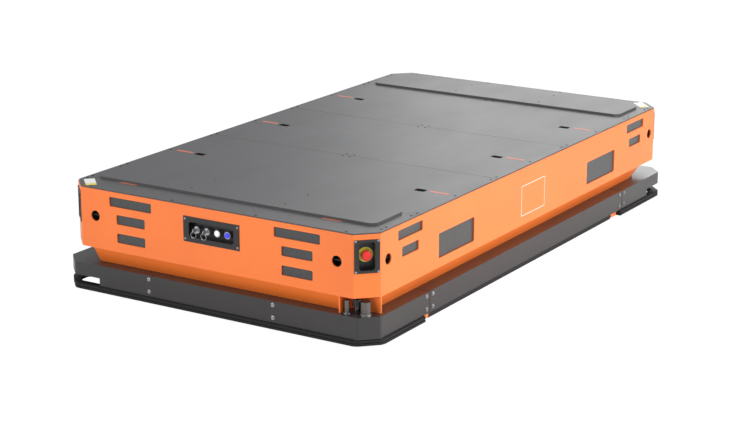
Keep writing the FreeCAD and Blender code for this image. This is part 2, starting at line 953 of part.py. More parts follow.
def chassis_webs():
    """The two long upright webs, with openings where the axle cradles pass through."""
    long_half = D.chassis_half_length - 2 * D.chassis_sheet
    floor_top = D.floor_bottom + D.floor_plate
    room = D.web_hole_room
    webs = []
    for side, sx in SIDES:
        x = signed_span(sx, D.web_x, D.web_x + D.web_sheet)
        plate = box(f"web_{side}", x, (-long_half, long_half), (floor_top, D.shell_top))
        tools = []
        for end, sy in ENDS:
            y = signed_span(sy, D.axle_y - D.cradle_reach, D.axle_y + D.cradle_reach)
            z = (D.cradle_bottom - room, D.cradle_top + room)
            tools.append(box(f"cutter_web_{end}_{side}", (x[0] - 1, x[1] + 1), y, z))
        webs.append(cut(f"web_{side}_cut", plate, tools))
    node("chassis_webs", group("chassis_web_group", webs))


def chassis_frame():
    """The upright cross plates between the webs and the plates beside the wheels."""
    web = D.web_sheet
    height = (D.floor_bottom + D.floor_plate, D.shell_top)
    support = D.cradle_reach
    rows = (
        ("end", D.end_cross_y, False),
        ("outer", D.axle_y + support, True),
        ("inner", D.axle_y - support - web, True),
    )
    outside = D.chassis_half_width - 2 * D.chassis_sheet
    bay = D.wheel_radius + 2 * D.bumper_out
    plates = []
    for end, sy in ENDS:
        for name, low, bored in rows:
            y = signed_span(sy, low, low + web)
            label = f"cross_{end}_{name}"
            plate = box(label, (-D.web_x, D.web_x), y, height)
            tools = []
            if sy > 0 and bored:
                at = (0, y[0] - 1, D.wheel_radius)
                tools.append(cylinder(label + "_bore", D.pivot_radius, web + 2, at, "y"))
            if name != "inner":
                for side, sx in SIDES:
                    at = (D.cable_x * sx, y[0] - 1, D.cable_row)
                    tools.append(cylinder(f"{label}_cable_{side}", D.cable_hole_radius,
                                          web + 2, at, "y"))
            plates.append(cut(label + "_cut", plate, tools) if tools else plate)
        for side, sx in SIDES:
            x = signed_span(sx, D.web_x + web, outside)
            for name, low in (("outer", D.axle_y + bay), ("inner", D.axle_y - bay - web)):
                y = signed_span(sy, low, low + web)
                plates.append(box(f"beside_{end}_{side}_{name}", x, y, height))
    node("chassis_frame", group("chassis_frame_group", plates))


def pivot_spans():
    """Where the two pins of the rocking rear axle lie along Y."""
    reach = D.cradle_reach
    low = D.axle_y - reach - D.web_sheet - D.pivot_stand
    high = D.axle_y + reach + D.web_sheet + D.pivot_stand
    return (("inner", (low, low + D.pivot_length)), ("outer", (high - D.pivot_length, high)))


# ---------------------------------------------------------------- axles and wheels


def axle_cradle(end, sy, gap):
    """A welded cradle that carries both gearmotors of one axle."""
    reach = D.cradle_reach - gap
    gauge = D.cradle_sheet
    z = (D.cradle_bottom, D.cradle_top)
    y = signed_span(sy, D.axle_y - reach, D.axle_y + reach)
    plates = []
    for side, sx in SIDES:
        x = signed_span(sx, D.cradle_x, D.cradle_x + gauge)
        plates.append(box(f"cradle_{end}_{side}", x, y, z))
    inner_z = (D.cradle_bottom + D.cradle_flange, D.cradle_top - D.cradle_flange)
    for name, low in (("inner", D.axle_y - reach), ("outer", D.axle_y + reach - gauge)):
        span = signed_span(sy, low, low + gauge)
        x = (-D.cradle_x, D.cradle_x)
        plates.append(box(f"cradle_{end}_{name}", x, span, inner_z))
    tools = []
    at = (-D.cradle_x - 2 * gauge, D.axle_y * sy, D.wheel_radius)
    length = 2 * D.cradle_x + 4 * gauge
    tools.append(cylinder(f"cutter_motor_{end}", D.motor_radius, length, at, "x"))
    if sy > 0:
        for name, (low, high) in pivot_spans():
            at = (0, low - 1, D.wheel_radius)
            label = f"cutter_bore_{name}"
            tools.append(cylinder(label, D.pivot_bore, high - low + 2, at, "y"))
    welded = fuse(f"cradle_{end}_welded", plates)
    return cut(f"cradle_{end}_cut", welded, tools)


def axles():
    node("front_axle_cradle", axle_cradle("front", -1, as_size(0)))
    node("rear_axle_cradle", axle_cradle("rear", 1, D.rocker_gap))
    pins = []
    for name, (low, high) in pivot_spans():
        at = (0, low, D.wheel_radius)
        pins.append(cylinder(f"pivot_{name}", D.pivot_radius, high - low, at, "y"))
    node("axle_pivot_pins", group("pivot_pin_group", pins))
    for end, sy in ENDS:
        motors = [gearmotor(end, side, sx, sy) for side, sx in SIDES]
        node(f"{end}_gearmotors", group(f"{end}_motor_group", motors))


def gearmotor(end, side, sx, sy):
    """A hollow-shaft gearbox with its flange outside the cradle, then motor and brake."""
    name = f"motor_{end}_{side}"
    outside = D.cradle_x + D.cradle_sheet
    gearbox_end = D.cradle_x - D.gearbox_length
    motor_end = gearbox_end - D.motor_length
    steps = (
        (D.gearbox_flange_radius, outside, outside + D.gearbox_flange),
        (D.motor_radius, gearbox_end, outside),
        (D.rotor_case_radius, motor_end, gearbox_end),
        (D.brake_radius, motor_end - D.brake_length, motor_end),
    )
    parts = []
    for number, (radius, low, high) in enumerate(steps):
        span = signed_span(sx, low, high)
        at = (span[0], D.axle_y * sy, D.wheel_radius)
        parts.append(cylinder(f"{name}_{number}", radius, span[1] - span[0], at, "x"))
    bore = signed_span(sx, outside - D.shaft_seat, outside + D.gearbox_flange + 1)
    at = (bore[0], D.axle_y * sy, D.wheel_radius)
    tool = cylinder(f"{name}_bore", D.shaft_bore, bore[1] - bore[0], at, "x")
    return cut(name, fuse(name + "_solid", parts), [tool])


ROLLERS = 9
ROLLER_LEAN = {(1, 1): 45, (-1, 1): -45, (-1, -1): 45, (1, -1): -45}


def roller_turn(number, lean):
    """The turn that puts a Z-long roller, set off along X, into the wheel's ring."""
    around = Rotation(Vector(0, 0, 1), 360 / ROLLERS * number)
    return around, around.multiply(Rotation(Vector(1, 0, 0), lean))


def roller(name, number, lean):
    """One barrel roller, in wheel axes with the wheel turning about Z."""
    half = D.roller_half_length
    flat = D.roller_flat
    body = revolved(name, [
        (0, -half),
        (D.roller_end_radius, -half),
        (D.roller_radius, -flat),
        (D.roller_radius, flat),
        (D.roller_end_radius, half),
        (0, half),
    ])
    around, turned = roller_turn(number, lean)
    centre = around.multVec(Vector((D.wheel_radius - D.roller_radius).number, 0, 0))
    body.Placement = Placement(centre, turned)
    return body


def wheel_hub(name, lean, sx):
    """Drum, two discs, drive shaft and the leaning lugs that hold the rollers."""
    half = D.wheel_half_width
    parts = [cylinder(name + "_drum", D.drum_radius, 2 * half, (0, 0, -half))]
    for tag, low in (("a", -half), ("b", half - D.wheel_disc)):
        disc = cylinder(f"{name}_disc_{tag}", D.disc_radius, D.wheel_disc, (0, 0, low))
        parts.append(disc)
    shaft = D.wheel_x - half - D.cradle_x - D.cradle_sheet + D.shaft_seat - 2
    low = -half - shaft if sx > 0 else half
    parts.append(cylinder(name + "_shaft", D.shaft_radius, shaft, (0, 0, low)))
    for number in range(ROLLERS):
        around, turned = roller_turn(number, lean)
        for sign in (-1, 1):
            parts.append(roller_lug(f"{name}_lug_{number}_{'ab'[sign > 0]}", around,
                                    turned, sign))
    return fuse(name + "_hub", parts)


def roller_lug(name, around, turned, sign):
    """A leaning plate between a roller's end and the disc beside it."""
    lug = doc.addObject("Part::Box", name)
    bind(lug, "Length", D.roller_radius)
    bind(lug, "Width", D.roller_radius)
    bind(lug, "Height", D.wheel_disc)
    ring = (D.wheel_radius - D.roller_radius).number
    half = D.roller_half_length.number
    low = half if sign > 0 else -half - D.wheel_disc.number
    corner = Vector(-D.roller_radius.number, -D.roller_radius.number / 2, low)
    at = around.multVec(Vector(ring, 0, 0)) + turned.multVec(corner)
    lug.Placement = Placement(at, turned)
    return lug


def wheels():
    for corner, sx, sy in CORNERS:
        name = f"wheel_{corner}"
        lean = ROLLER_LEAN[(sx, sy)]
        turn = Rotation(Vector(0, 1, 0), 90)
        at = (D.wheel_x * sx, D.axle_y * sy, D.wheel_radius)
        hub = group(name + "_group", [wheel_hub(name, lean, sx)])
        place(hub, at, turn)
        node(name, hub)
        rollers = [roller(f"roller_{corner}_{n}", n, lean) for n in range(ROLLERS)]
        ring = group(f"rollers_{corner}_group", rollers)
        place(ring, at, turn)
        node(f"rollers_{corner}", ring)


# ---------------------------------------------------------------- bumper ring


def bumper_end(end, sy):
    """The U-shaped end of the ring, a folded web and top flange around the chassis."""
    out_x = HALF_X + D.bumper_out
    out_y = HALF_Y + D.bumper_out
    seam = D.front_seam if sy < 0 else D.rear_seam
    seam = seam + D.seam_gap / 2
    c = D.bumper_cut
    body = new_body(f"bumper_{end}_body")
    outline = [
        (-out_x, seam * sy),
        (-out_x, (out_y - c) * sy),
        (-out_x + c, out_y * sy),
        (out_x - c, out_y * sy),
        (out_x, (out_y - c) * sy),
        (out_x, seam * sy),
        (D.chassis_half_width, seam * sy),
        (D.chassis_half_width, bay_y(1, sy) * sy),
        (D.bay_x, bay_y(1, sy) * sy),
        (D.bay_x, D.chassis_half_length * sy),
        (-D.bay_x, D.chassis_half_length * sy),
        (-D.bay_x, bay_y(-1, sy) * sy),
        (-D.chassis_half_width, bay_y(-1, sy) * sy),
        (-D.chassis_half_width, seam * sy),
    ]
    pad(body, f"bumper_{end}_outer", [outline], D.bumper_bottom, D.bumper_top)
    round_uprights(body, f"bumper_{end}_bends", D.bumper_round,
                   lambda x, y: abs(x) > out_x.number - c.number - 1
                   and abs(y) > out_y.number - c.number - 1)
    web = D.bumper_sheet
    in_x, in_y = out_x - web, out_y - web
    hollow = [
        (-in_x, (seam - 10) * sy),
        (-in_x, (in_y - c) * sy),
        (-in_x + c, in_y * sy),
        (in_x - c, in_y * sy),
        (in_x, (in_y - c) * sy),
        (in_x, (seam - 10) * sy),
    ]
    under = D.bumper_top - D.bumper_flange
    pocket(body, f"bumper_{end}_hollow", [hollow], D.bumper_bottom, under)
    reach = D.slot_reach
    x = signed_span(sy, out_x - reach, out_x + 10)
    y = signed_span(sy, out_y - reach, out_y + 10)
    slot = box(f"cutter_slot_{end}", x, y, (D.bumper_bottom - 1, D.slot_top))
    node(f"bumper_{end}", cut(f"bumper_{end}_cut", body, [slot]))


def bumper_sides():
    out_x = HALF_X + D.bumper_out
    y = (-D.front_seam + D.seam_gap / 2, D.rear_seam - D.seam_gap / 2)
    for side, sx in SIDES:
        x = signed_span(sx, D.chassis_half_width, out_x)
        beam = box(f"bumper_{side}_outer", x, y, (D.bumper_bottom, D.bumper_top))
        x = signed_span(sx, D.chassis_half_width - 1, out_x - D.bumper_sheet)
        hollow_y = (y[0] - 1, y[1] + 1)
        z = (D.bumper_bottom - 1, D.bumper_top - D.bumper_flange)
        hollow = box(f"bumper_{side}_hollow", x, hollow_y, z)
        node(f"bumper_{side}", cut(f"bumper_{side}_cut", beam, [hollow]))


def hexagon_head(name, at, along):
    head = doc.addObject("Part::Prism", name)
    head.Polygon = 6
    bind(head, "Circumradius", D.bolt_circle)
    bind(head, "Height", D.bolt_head)
    place(head, at, ALONG[along])
    return head


def bumper_bolts():
    bolts = []
    rows = (("high", D.bolt_high), ("low", D.bolt_low))
    for row, z in rows:
        for end, sy in ENDS:
            y = signed_span(sy, HALF_Y + D.bumper_out, HALF_Y + D.bumper_out + D.bolt_head)
            for side, sx in SIDES:
                at = (D.bolt_x * sx, y[0], z)
                bolts.append(hexagon_head(f"bolt_{end}_{side}_{row}", at, "y"))
        for side, sx in SIDES:
            x = signed_span(sx, HALF_X + D.bumper_out, HALF_X + D.bumper_out + D.bolt_head)
            for end, seam in (("front", -D.front_seam), ("rear", D.rear_seam)):
                for step in (-1, 1):
                    at = (x[0], seam + D.seam_bolt * step, z)
                    name = f"bolt_{side}_{end}_{row}_{'ab'[step > 0]}"
                    bolts.append(hexagon_head(name, at, "x"))
    node("bumper_bolts", group("bumper_bolt_group", bolts))


def u_outline(out_x, out_y, stop, corner, sy):
    """The outer line of a U around one end, closed straight across at its stops."""
    return [
        (-out_x, stop * sy),
        (-out_x, (out_y - corner) * sy),
        (-out_x + corner, out_y * sy),
        (out_x - corner, out_y * sy),
        (out_x, (out_y - corner) * sy),
        (out_x, stop * sy),
    ]


def safety_strip(end, sy):
    """The ribbed rubber strip that runs round one end below the bumper."""
    stop = D.front_strip_end if sy < 0 else D.rear_strip_end
    out_x = HALF_X + D.strip_out
    out_y = HALF_Y + D.strip_out
    depth = D.strip_depth
    corner = D.strip_cut
    outer = u_outline(out_x, out_y, stop, corner, sy)
    inner_corner = corner - depth * FOLD
    inner = u_outline(out_x - depth, out_y - depth, stop, inner_corner, sy)
    body = new_body(f"strip_{end}_body")
    outline = outer + inner[::-1]
    pad(body, f"strip_{end}_pad", [outline], D.strip_bottom, D.bumper_bottom)
    edge_x = out_x.number - corner.number - 1
    edge_y = out_y.number - corner.number - 1
    total = out_x.number + out_y.number - corner.number - 1
    round_uprights(body, f"strip_{end}_bends", D.strip_round,
                   lambda x, y: abs(x) > edge_x and abs(y) > edge_y
                   and abs(x) + abs(y) > total)
    rib = D.strip_groove
    inset = u_outline(out_x - rib, out_y - rib, stop - 1, corner - rib * FOLD, sy)
    clear = 2 * rib
    far = u_outline(out_x + clear, out_y + clear, stop - 1, corner, sy)
    band = far + inset[::-1]
    tall = D.strip_groove_height
    for number, low in ((0, D.strip_bottom + D.strip_rib), (1, D.bumper_bottom - tall)):
        pocket(body, f"strip_{end}_rib_{number}", [band], low, low + tall)
    node(f"safety_strip_{end}", body)


def side_skirts():
    skirts = []
    y = (-D.front_strip_end + D.skirt_gap, D.rear_strip_end - D.skirt_gap)
    z = (D.skirt_bottom, D.bumper_top - D.bumper_flange)
    for side, sx in SIDES:
        x = signed_span(sx, D.skirt_x, D.skirt_x + D.skirt_sheet)
        panel = box(f"skirt_{side}_panel", x, y, z)
        tools = []
        for end, sy in ENDS:
            edge = D.front_strip_end if sy < 0 else D.rear_strip_end
            span = signed_span(sy, edge - D.foot_width - 2 * D.skirt_gap, edge + 1)
            foot = (D.skirt_bottom - 1, D.floor_bottom + D.floor_plate + 1)
            tools.append(box(f"cutter_skirt_{side}_{end}", (x[0] - 1, x[1] + 1), span, foot))
        skirts.append(cut(f"skirt_{side}", panel, tools))
    node("side_skirts", group("side_skirt_group", skirts))


# ---------------------------------------------------------------- emergency stops


def stop_plate(corner, sx, sy):
    """The plate on a cut corner with its deep recess, X outward from the corner face."""
    name = f"stop_plate_{corner}"
    half_y = D.stop_plate_width / 2
    half_z = D.stop_plate_height / 2
    in_y = D.stop_recess_width / 2
    in_z = D.stop_recess_height / 2
    gauge = D.tray_sheet
    face = box(name + "_face", (0, D.fitting_plate), (-half_y, half_y), (-half_z, half_z))
    y = (-in_y - gauge, in_y + gauge)
    z = (-in_z - gauge, in_z + gauge)
    tray = box(name + "_tray", (-D.stop_depth - gauge, 0), y, z)
    mouth = D.fitting_plate + 1
    hollow = eased_box(name + "_hollow", (-D.stop_depth, mouth), (-in_y, in_y),
                       (-in_z, in_z), "x", D.bend_radius)
    at = (-D.stop_depth - 2 * gauge, 0, 0)
    hole = cylinder(name + "_hole", D.stop_bore, 3 * gauge, at, "x")
    return on_corner(cut(name, fuse(name + "_solid", [face, tray]), [hollow, hole]), sx, sy)


def stop_collar(corner, sx, sy):
    name = f"stop_collar_{corner}"
    at = (-D.stop_depth, 0, 0)
    thick = D.stop_collar
    disc = cylinder(name + "_disc", D.stop_collar_radius, thick, at, "x")
    hole = cylinder(name + "_hole", D.stop_bore + D.stop_collar_gap, thick + 1, at, "x")
    return on_corner(cut(name, disc, [hole]), sx, sy)


def stop_block(corner, sx, sy):
    name = f"stop_block_{corner}"
    back = -D.stop_depth - D.tray_sheet
    half = (-D.stop_block, D.stop_block)
    block = box(name + "_case", (back - D.stop_block_length, back), half, half)
    deep = D.stop_stem_seat + D.stop_overtravel
    hole = cylinder(name + "_hole", D.stop_bore, deep + 1, (back - deep, 0, 0), "x")
    return on_corner(cut(name, block, [hole]), sx, sy)


def stop_head(corner, sx, sy):
    """The mushroom head with its stem, turned about the press axis."""
    stem = D.stop_stem_radius
    head = D.stop_head_radius
    low = -D.stop_depth - D.tray_sheet - D.stop_stem_seat
    top = -D.stop_sunk
    under = top - D.stop_head_height
    ease = D.stop_head_ease
    points = [
        (0, low),
        (stem, low),
        (stem, under),
        (head - ease, under),
        (head, under + ease),
        (head, top - ease),
        (head - ease, top - ease / 3),
        (head / 2, top),
        (0, top),
    ]
    body = revolved(f"stop_head_{corner}_turned", points)
    body.Placement = Placement(Vector(), Rotation(Vector(0, 1, 0), 90))
    return on_corner(group(f"stop_head_{corner}_group", [body]), sx, sy)


def emergency_stops():
    node("estop_plates", group("stop_plates", [stop_plate(*c) for c in CORNERS]))
    node("estop_collars", group("stop_collars", [stop_collar(*c) for c in CORNERS]))
    node("estop_contact_blocks", group("stop_blocks", [stop_block(*c) for c in CORNERS]))
    for corner, sx, sy in CORNERS:
        node(f"estop_head_{corner}", stop_head(corner, sx, sy))


# ---------------------------------------------------------------- control panel


FLOOR_Y = -HALF_Y + D.recess_depth
DEVICE_FRONT = FLOOR_Y - D.device_reach
DEVICES = (("left_key", -1.5), ("right_key", -0.5), ("white", 0.5), ("blue", 1.5))


def control_panel():
    face_x = (-D.panel_half_width, D.panel_half_width)
    face_y = (-HALF_Y - D.fitting_plate, -HALF_Y)
    face = box("panel_face", face_x, face_y, row_span(D.panel_row, D.panel_height))
    gauge = D.tray_sheet
    half = D.recess_half_width
    z = row_span(D.panel_row, D.recess_height + 2 * gauge)
    tray = box("panel_tray", (-half - gauge, half + gauge), (-HALF_Y, FLOOR_Y + gauge), z)
    hollow = eased_box("panel_hollow", (-half, half), (face_y[0] - 1, FLOOR_Y),
                       row_span(D.panel_row, D.recess_height), "y", D.bend_radius)
    tools = [hollow]
    for name, step in DEVICES:
        at = (D.device_pitch * step, FLOOR_Y - 1, D.panel_row)
        radius = D.device_bore + D.device_wall
        tools.append(cylinder(f"panel_hole_{name}", radius, 2 * gauge, at, "y"))
    node("control_panel", cut("panel_cut", fuse("panel_solid", [face, tray]), tools))


def device_barrel(name, step, bore, depth):
    """A switch body: a collar in front of the panel's floor and a barrel behind it."""
    x = D.device_pitch * step
    collar = cylinder(name + "_collar", D.device_radius, D.device_reach,
                      (x, DEVICE_FRONT, D.panel_row), "y")
    barrel = cylinder(name + "_barrel", D.device_bore + D.device_wall, D.device_length,
                      (x, FLOOR_Y, D.panel_row), "y")
    tool = cylinder(name + "_bore", bore, depth, (x, DEVICE_FRONT, D.panel_row), "y")
    return cut(name, fuse(name + "_solid", [collar, barrel]), [tool])


def panel_devices():
    locks = []
    bezels = []
    for name, step in DEVICES:
        if name.endswith("key"):
            locks.append(device_barrel(f"lock_{name}", step, D.plug_bore, D.lock_depth))
        else:
            bezels.append(device_barrel(f"bezel_{name}", step, D.device_bore, D.bezel_depth))
    node("key_switches", group("lock_group", locks))
    node("push_button_bezels", group("bezel_group", bezels))
    for name, step in DEVICES[2:]:
        body = revolved(f"{name}_button_turned", [
            (0, -D.button_seat),
            (D.button_radius, -D.button_seat),
            (D.button_radius, D.button_stand - D.button_ease),
            (D.button_radius - D.button_ease, D.button_stand),
            (0, D.button_stand),
        ])
        at = (D.device_pitch * step, DEVICE_FRONT, D.panel_row)
        place(body, at, Rotation(Vector(1, 0, 0), 90))
        node(f"{name}_button", body)


def key(name, step):
    """The lock's plug and the key in it: blade, shoulder and a round bow with a hole."""
    x = D.device_pitch * step
    plug = cylinder(name + "_plug_bar", D.plug_radius, D.plug_length,
                    (x, DEVICE_FRONT, D.panel_row), "y")
    half = D.key_sheet / 2
    blade_x = (x - half, x + half)
    blade_z = (D.panel_row - D.blade_half, D.panel_row + D.blade_half)
    seat = DEVICE_FRONT + D.blade_seat
    slot = box(name + "_slot", blade_x, (DEVICE_FRONT - 1, seat), blade_z)
    turning_plug = cut(name + "_plug", plug, [slot])
    out = D.key_out - D.key_bow / 2
    blade = box(name + "_blade", blade_x, (DEVICE_FRONT - out, seat), blade_z)
    middle = (x - half, DEVICE_FRONT - out, D.panel_row)
    bow = cylinder(name + "_bow", D.key_bow, D.key_sheet, middle, "x")
    at = (x - D.key_sheet, DEVICE_FRONT - D.key_out, D.panel_row)
    hole = cylinder(name + "_hole", D.key_hole, 2 * D.key_sheet, at, "x")
    solid = cut(name + "_key", fuse(name + "_solid", [blade, bow]), [hole])
    return group(name + "_pair", [turning_plug, solid])


def key_ring(name, step):
    """A split ring of flat wire that hangs from the key's hole."""
    outer = D.ring_radius + D.ring_wire / 2
    inner = D.ring_radius - D.ring_wire / 2
    half = D.ring_band / 2
    body = revolved(name, [(inner, -half), (outer, -half), (outer, half), (inner, half)])
    drop = D.key_hole - D.ring_wire + D.ring_play / 2
    z = D.panel_row - drop - D.ring_radius
    at = (D.device_pitch * step, DEVICE_FRONT - D.key_out, z)
    place(body, at, Rotation(Vector(1, 0, 0), 90))
    return body


def keys():
    for name, step in DEVICES[:2]:
        side = name.split("_")[0]
        node(f"key_{side}", key(f"key_{side}_build", step))
        node(f"key_ring_{side}", key_ring(f"key_ring_{side}_wire", step))


# ---------------------------------------------------------------- scanners and inside


def upper_scanner(name, sx, sy):
    """A drum-shaped scanner on its foot, on the bumper's flange in a corner bay."""
    top = D.bumper_top
    radius = D.scanner_radius
    x, y = D.scanner_x * sx, D.scanner_y * sy
    base = D.scanner_base
    band = D.scanner_band
    foot = cylinder(name + "_foot", radius, base, (x, y, top))
    waist = cylinder(name + "_waist", D.scanner_waist, band, (x, y, top + base))
    cap = cylinder(name + "_cap", radius, band, (x, y, top + base + band))
    return fuse(name, [foot, waist, cap])


def guard_posts(name, sx, sy):
    """A thick and a thin steel post on round flanges that shield an upper scanner."""
    posts = []
    for tag, x, y, radius, flange in (
            ("thick", D.post_x, D.post_y, D.post_radius, D.post_flange_radius),
            ("thin", D.thin_post_x, D.thin_post_y, D.thin_post_radius, D.thin_flange_radius)):
        at = (x * sx, y * sy, D.bumper_top)
        base = cylinder(f"{name}_{tag}_base", flange, D.scanner_base, at)
        stem = cylinder(f"{name}_{tag}_stem", radius, D.post_height, at)
        posts.append(fuse(f"{name}_{tag}", [base, stem]))
    return posts


def lower_scanner(name, sx, sy):
    """A scanner hung under the bumper flange that looks out through the corner slot."""
    top = D.bumper_top - D.bumper_flange
    radius = D.low_scanner_radius
    x, y = D.low_scanner_x * sx, D.low_scanner_y * sy
    case_low = top - D.low_scanner_case
    lens_low = case_low - D.low_scanner_lens
    case = cylinder(name + "_case", radius, D.low_scanner_case, (x, y, case_low))
    waist = D.low_scanner_waist
    lens = cylinder(name + "_lens", waist, D.low_scanner_lens, (x, y, lens_low))
    cap_low = lens_low - D.low_scanner_cap
    cap = cylinder(name + "_cap", radius, D.low_scanner_cap, (x, y, cap_low))
    return fuse(name, [case, lens, cap])


def scanners():
    upper = [upper_scanner(f"scanner_{'lr'[sx > 0]}", sx, sy) for sx, sy in UPPER_BAYS]
    lower = [lower_scanner(f"low_scanner_{'lr'[sx > 0]}", sx, sy) for sx, sy in LOWER_BAYS]
    node("upper_scanners", group("upper_scanner_group", upper))
    node("lower_scanners", group("lower_scanner_group", lower))
    posts = []
    for sx, sy in UPPER_BAYS:
        posts += guard_posts(f"guard_{'lr'[sx > 0]}", sx, sy)
    node("scanner_guard_posts", group("guard_post_group", posts))


def inside_units():
    """The battery modules on the floor and the two cabinets under the raised covers."""
    floor_top = D.floor_bottom + D.floor_plate
    modules = []
    gap = D.module_gap
    width = (D.web_x - D.cabinet_margin) / 2
    length = D.module_length
    for column in range(-2, 2):
        for line in range(-2, 2):
            x = (width * column + gap, width * (column + 1) - gap)
            y = (length * line + gap, length * (line + 1) - gap)
            name = f"module_{column + 2}_{line + 2}"
            modules.append(box(name, x, y, (floor_top, floor_top + D.module_height)))
    node("battery_modules", group("battery_group", modules))
    for label, sy in (("controller_cabinet", -1), ("power_cabinet", 1)):
        margin = D.cabinet_margin
        y = signed_span(sy, D.cover_start + margin / 2, D.end_cross_y - margin)
        x = (-D.web_x + margin, D.web_x - margin)
        lid_top = D.shell_top - D.cabinet_room
        lid_low = lid_top - D.cabinet_lid
        case = box(label + "_case", x, y, (floor_top, lid_low))
        lip = margin / 5
        lid = box(label + "_lid", (x[0] - lip, x[1] + lip), (y[0] - lip, y[1] + lip),
                  (lid_low, lid_top))
        node(label, fuse(label + "_solid", [case, lid]))


# ---------------------------------------------------------------- build and write


def build():
    upper_shell()
    window_panels()
    tie_down_points()
    deck_plates()
    lift_grips()
    deck_covers()
    floor_plate()
    chassis_walls()
    chassis_webs()
    chassis_frame()
    axles()
    wheels()
    for end, sy in ENDS:
        bumper_end(end, sy)
        safety_strip(end, sy)
    bumper_sides()
    bumper_bolts()
    side_skirts()
    emergency_stops()
    control_panel()
    panel_devices()
    keys()
    scanners()
    inside_units()
    doc.recompute()


def check():
    for item in doc.Objects:
        if "Invalid" in item.State or "Error" in item.State:
            raise RuntimeError(f"{item.Label}: {item.State}")
    for item in NODES:
        if item.Shape.isNull() or not item.Shape.isValid():
            raise RuntimeError(f"{item.Label} has no valid shape")


def write():
    os.makedirs("parts", exist_ok=True)
    for item in NODES:
        item.Shape.exportStep(f"parts/{item.Label}.step")
    print(len(NODES), "sub-parts written")


build()
check()
write()
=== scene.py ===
"""Looks for a low platform robot: finishes, small fittings, light and camera."""

import json
from math import atan2, cos, hypot, pi, radians, sin

import bmesh
import bpy
from mathutils import Matrix, Vector


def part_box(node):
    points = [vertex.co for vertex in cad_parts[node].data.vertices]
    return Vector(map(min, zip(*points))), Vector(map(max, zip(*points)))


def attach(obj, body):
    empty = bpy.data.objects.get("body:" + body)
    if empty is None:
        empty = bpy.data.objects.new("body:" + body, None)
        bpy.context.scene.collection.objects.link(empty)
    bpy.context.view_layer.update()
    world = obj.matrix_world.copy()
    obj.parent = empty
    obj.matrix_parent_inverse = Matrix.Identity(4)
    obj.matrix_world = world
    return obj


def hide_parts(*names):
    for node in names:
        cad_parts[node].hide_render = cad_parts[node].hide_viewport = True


bl_info = {
    "name": "Platform Robot Look",
    "version": (1, 0, 0),
    "blender": (4, 5, 0),
    "location": "View3D > Sidebar > Robot",
    "description": "Finishes, fittings and studio for a low platform robot",
    "category": "Object",
}

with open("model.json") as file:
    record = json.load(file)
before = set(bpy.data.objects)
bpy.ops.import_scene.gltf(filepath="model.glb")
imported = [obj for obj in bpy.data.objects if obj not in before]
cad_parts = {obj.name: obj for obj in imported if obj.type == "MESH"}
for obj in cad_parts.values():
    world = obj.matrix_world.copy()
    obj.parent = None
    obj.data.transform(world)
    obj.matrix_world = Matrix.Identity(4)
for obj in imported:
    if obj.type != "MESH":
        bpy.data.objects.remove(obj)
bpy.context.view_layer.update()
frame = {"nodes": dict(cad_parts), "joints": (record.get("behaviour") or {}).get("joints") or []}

SHELL_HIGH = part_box("upper_shell")[1]
PLATE_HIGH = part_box("deck_middle_plate")[1]
COVER_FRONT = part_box("deck_front_cover")[1].y
DECK_TOP = PLATE_HIGH.z
HALF_X = SHELL_HIGH.x
HALF_Y = SHELL_HIGH.y
MM = 0.001
CORNER_CUT = 75 * MM
CORNERS = {
    "front_left": (-1, -1),
    "front_right": (1, -1),
    "rear_left": (-1, 1),
    "rear_right": (1, 1),
}
UPPER_BAYS = ((1, -1), (-1, 1))
LOWER_BAYS = ((-1, -1), (1, 1))
FILM = 0.4 * MM


# ---------------------------------------------------------------- settings


class RobotFinishes(bpy.types.PropertyGroup):
    """Colours of the robot's own finishes."""

    shell: bpy.props.FloatVectorProperty(
        name="Shell", description="Gloss paint of the upper shell", subtype="COLOR",
        size=3, min=0, max=1, default=(0.98, 0.205, 0.03))
    deck: bpy.props.FloatVectorProperty(
        name="Deck", description="Satin paint of the deck plates", subtype="COLOR",
        size=3, min=0, max=1, default=(0.085, 0.085, 0.087))
    ring: bpy.props.FloatVectorProperty(
        name="Bumper ring", description="Dark paint of the bumper ring", subtype="COLOR",
        size=3, min=0, max=1, default=(0.026, 0.026, 0.027))
    window: bpy.props.FloatVectorProperty(
        name="Windows", description="Panels behind the shell's openings", subtype="COLOR",
        size=3, min=0, max=1, default=(0.056, 0.058, 0.058))
    stop_red: bpy.props.FloatVectorProperty(
        name="Stop heads", description="Plastic of the stop buttons", subtype="COLOR",
        size=3, min=0, max=1, default=(0.72, 0.02, 0.02))
    stop_yellow: bpy.props.FloatVectorProperty(
        name="Stop collars", description="Plastic of the stop collars", subtype="COLOR",
        size=3, min=0, max=1, default=(0.9, 0.74, 0.06))


class RobotFittings(bpy.types.PropertyGroup):
    """Sizes of the small fittings that finish the robot."""

    screw_radius: bpy.props.FloatProperty(
        name="Deck screw", description="Head radius of a deck screw", subtype="DISTANCE",
        unit="LENGTH", min=0.002, max=0.01, default=0.0055)
    panel_screw_radius: bpy.props.FloatProperty(
        name="Panel screw", description="Head radius of a panel screw",
        subtype="DISTANCE", unit="LENGTH", min=0.002, max=0.01, default=0.0042)
    mark_length: bpy.props.FloatProperty(
        name="Deck mark", description="Length of the stripe beside a lift grip",
        subtype="DISTANCE", unit="LENGTH", min=0.02, max=0.2, default=0.085)
    mark_width: bpy.props.FloatProperty(
        name="Mark width", description="Width of the stripe beside a lift grip",
        subtype="DISTANCE", unit="LENGTH", min=0.005, max=0.05, default=0.016)


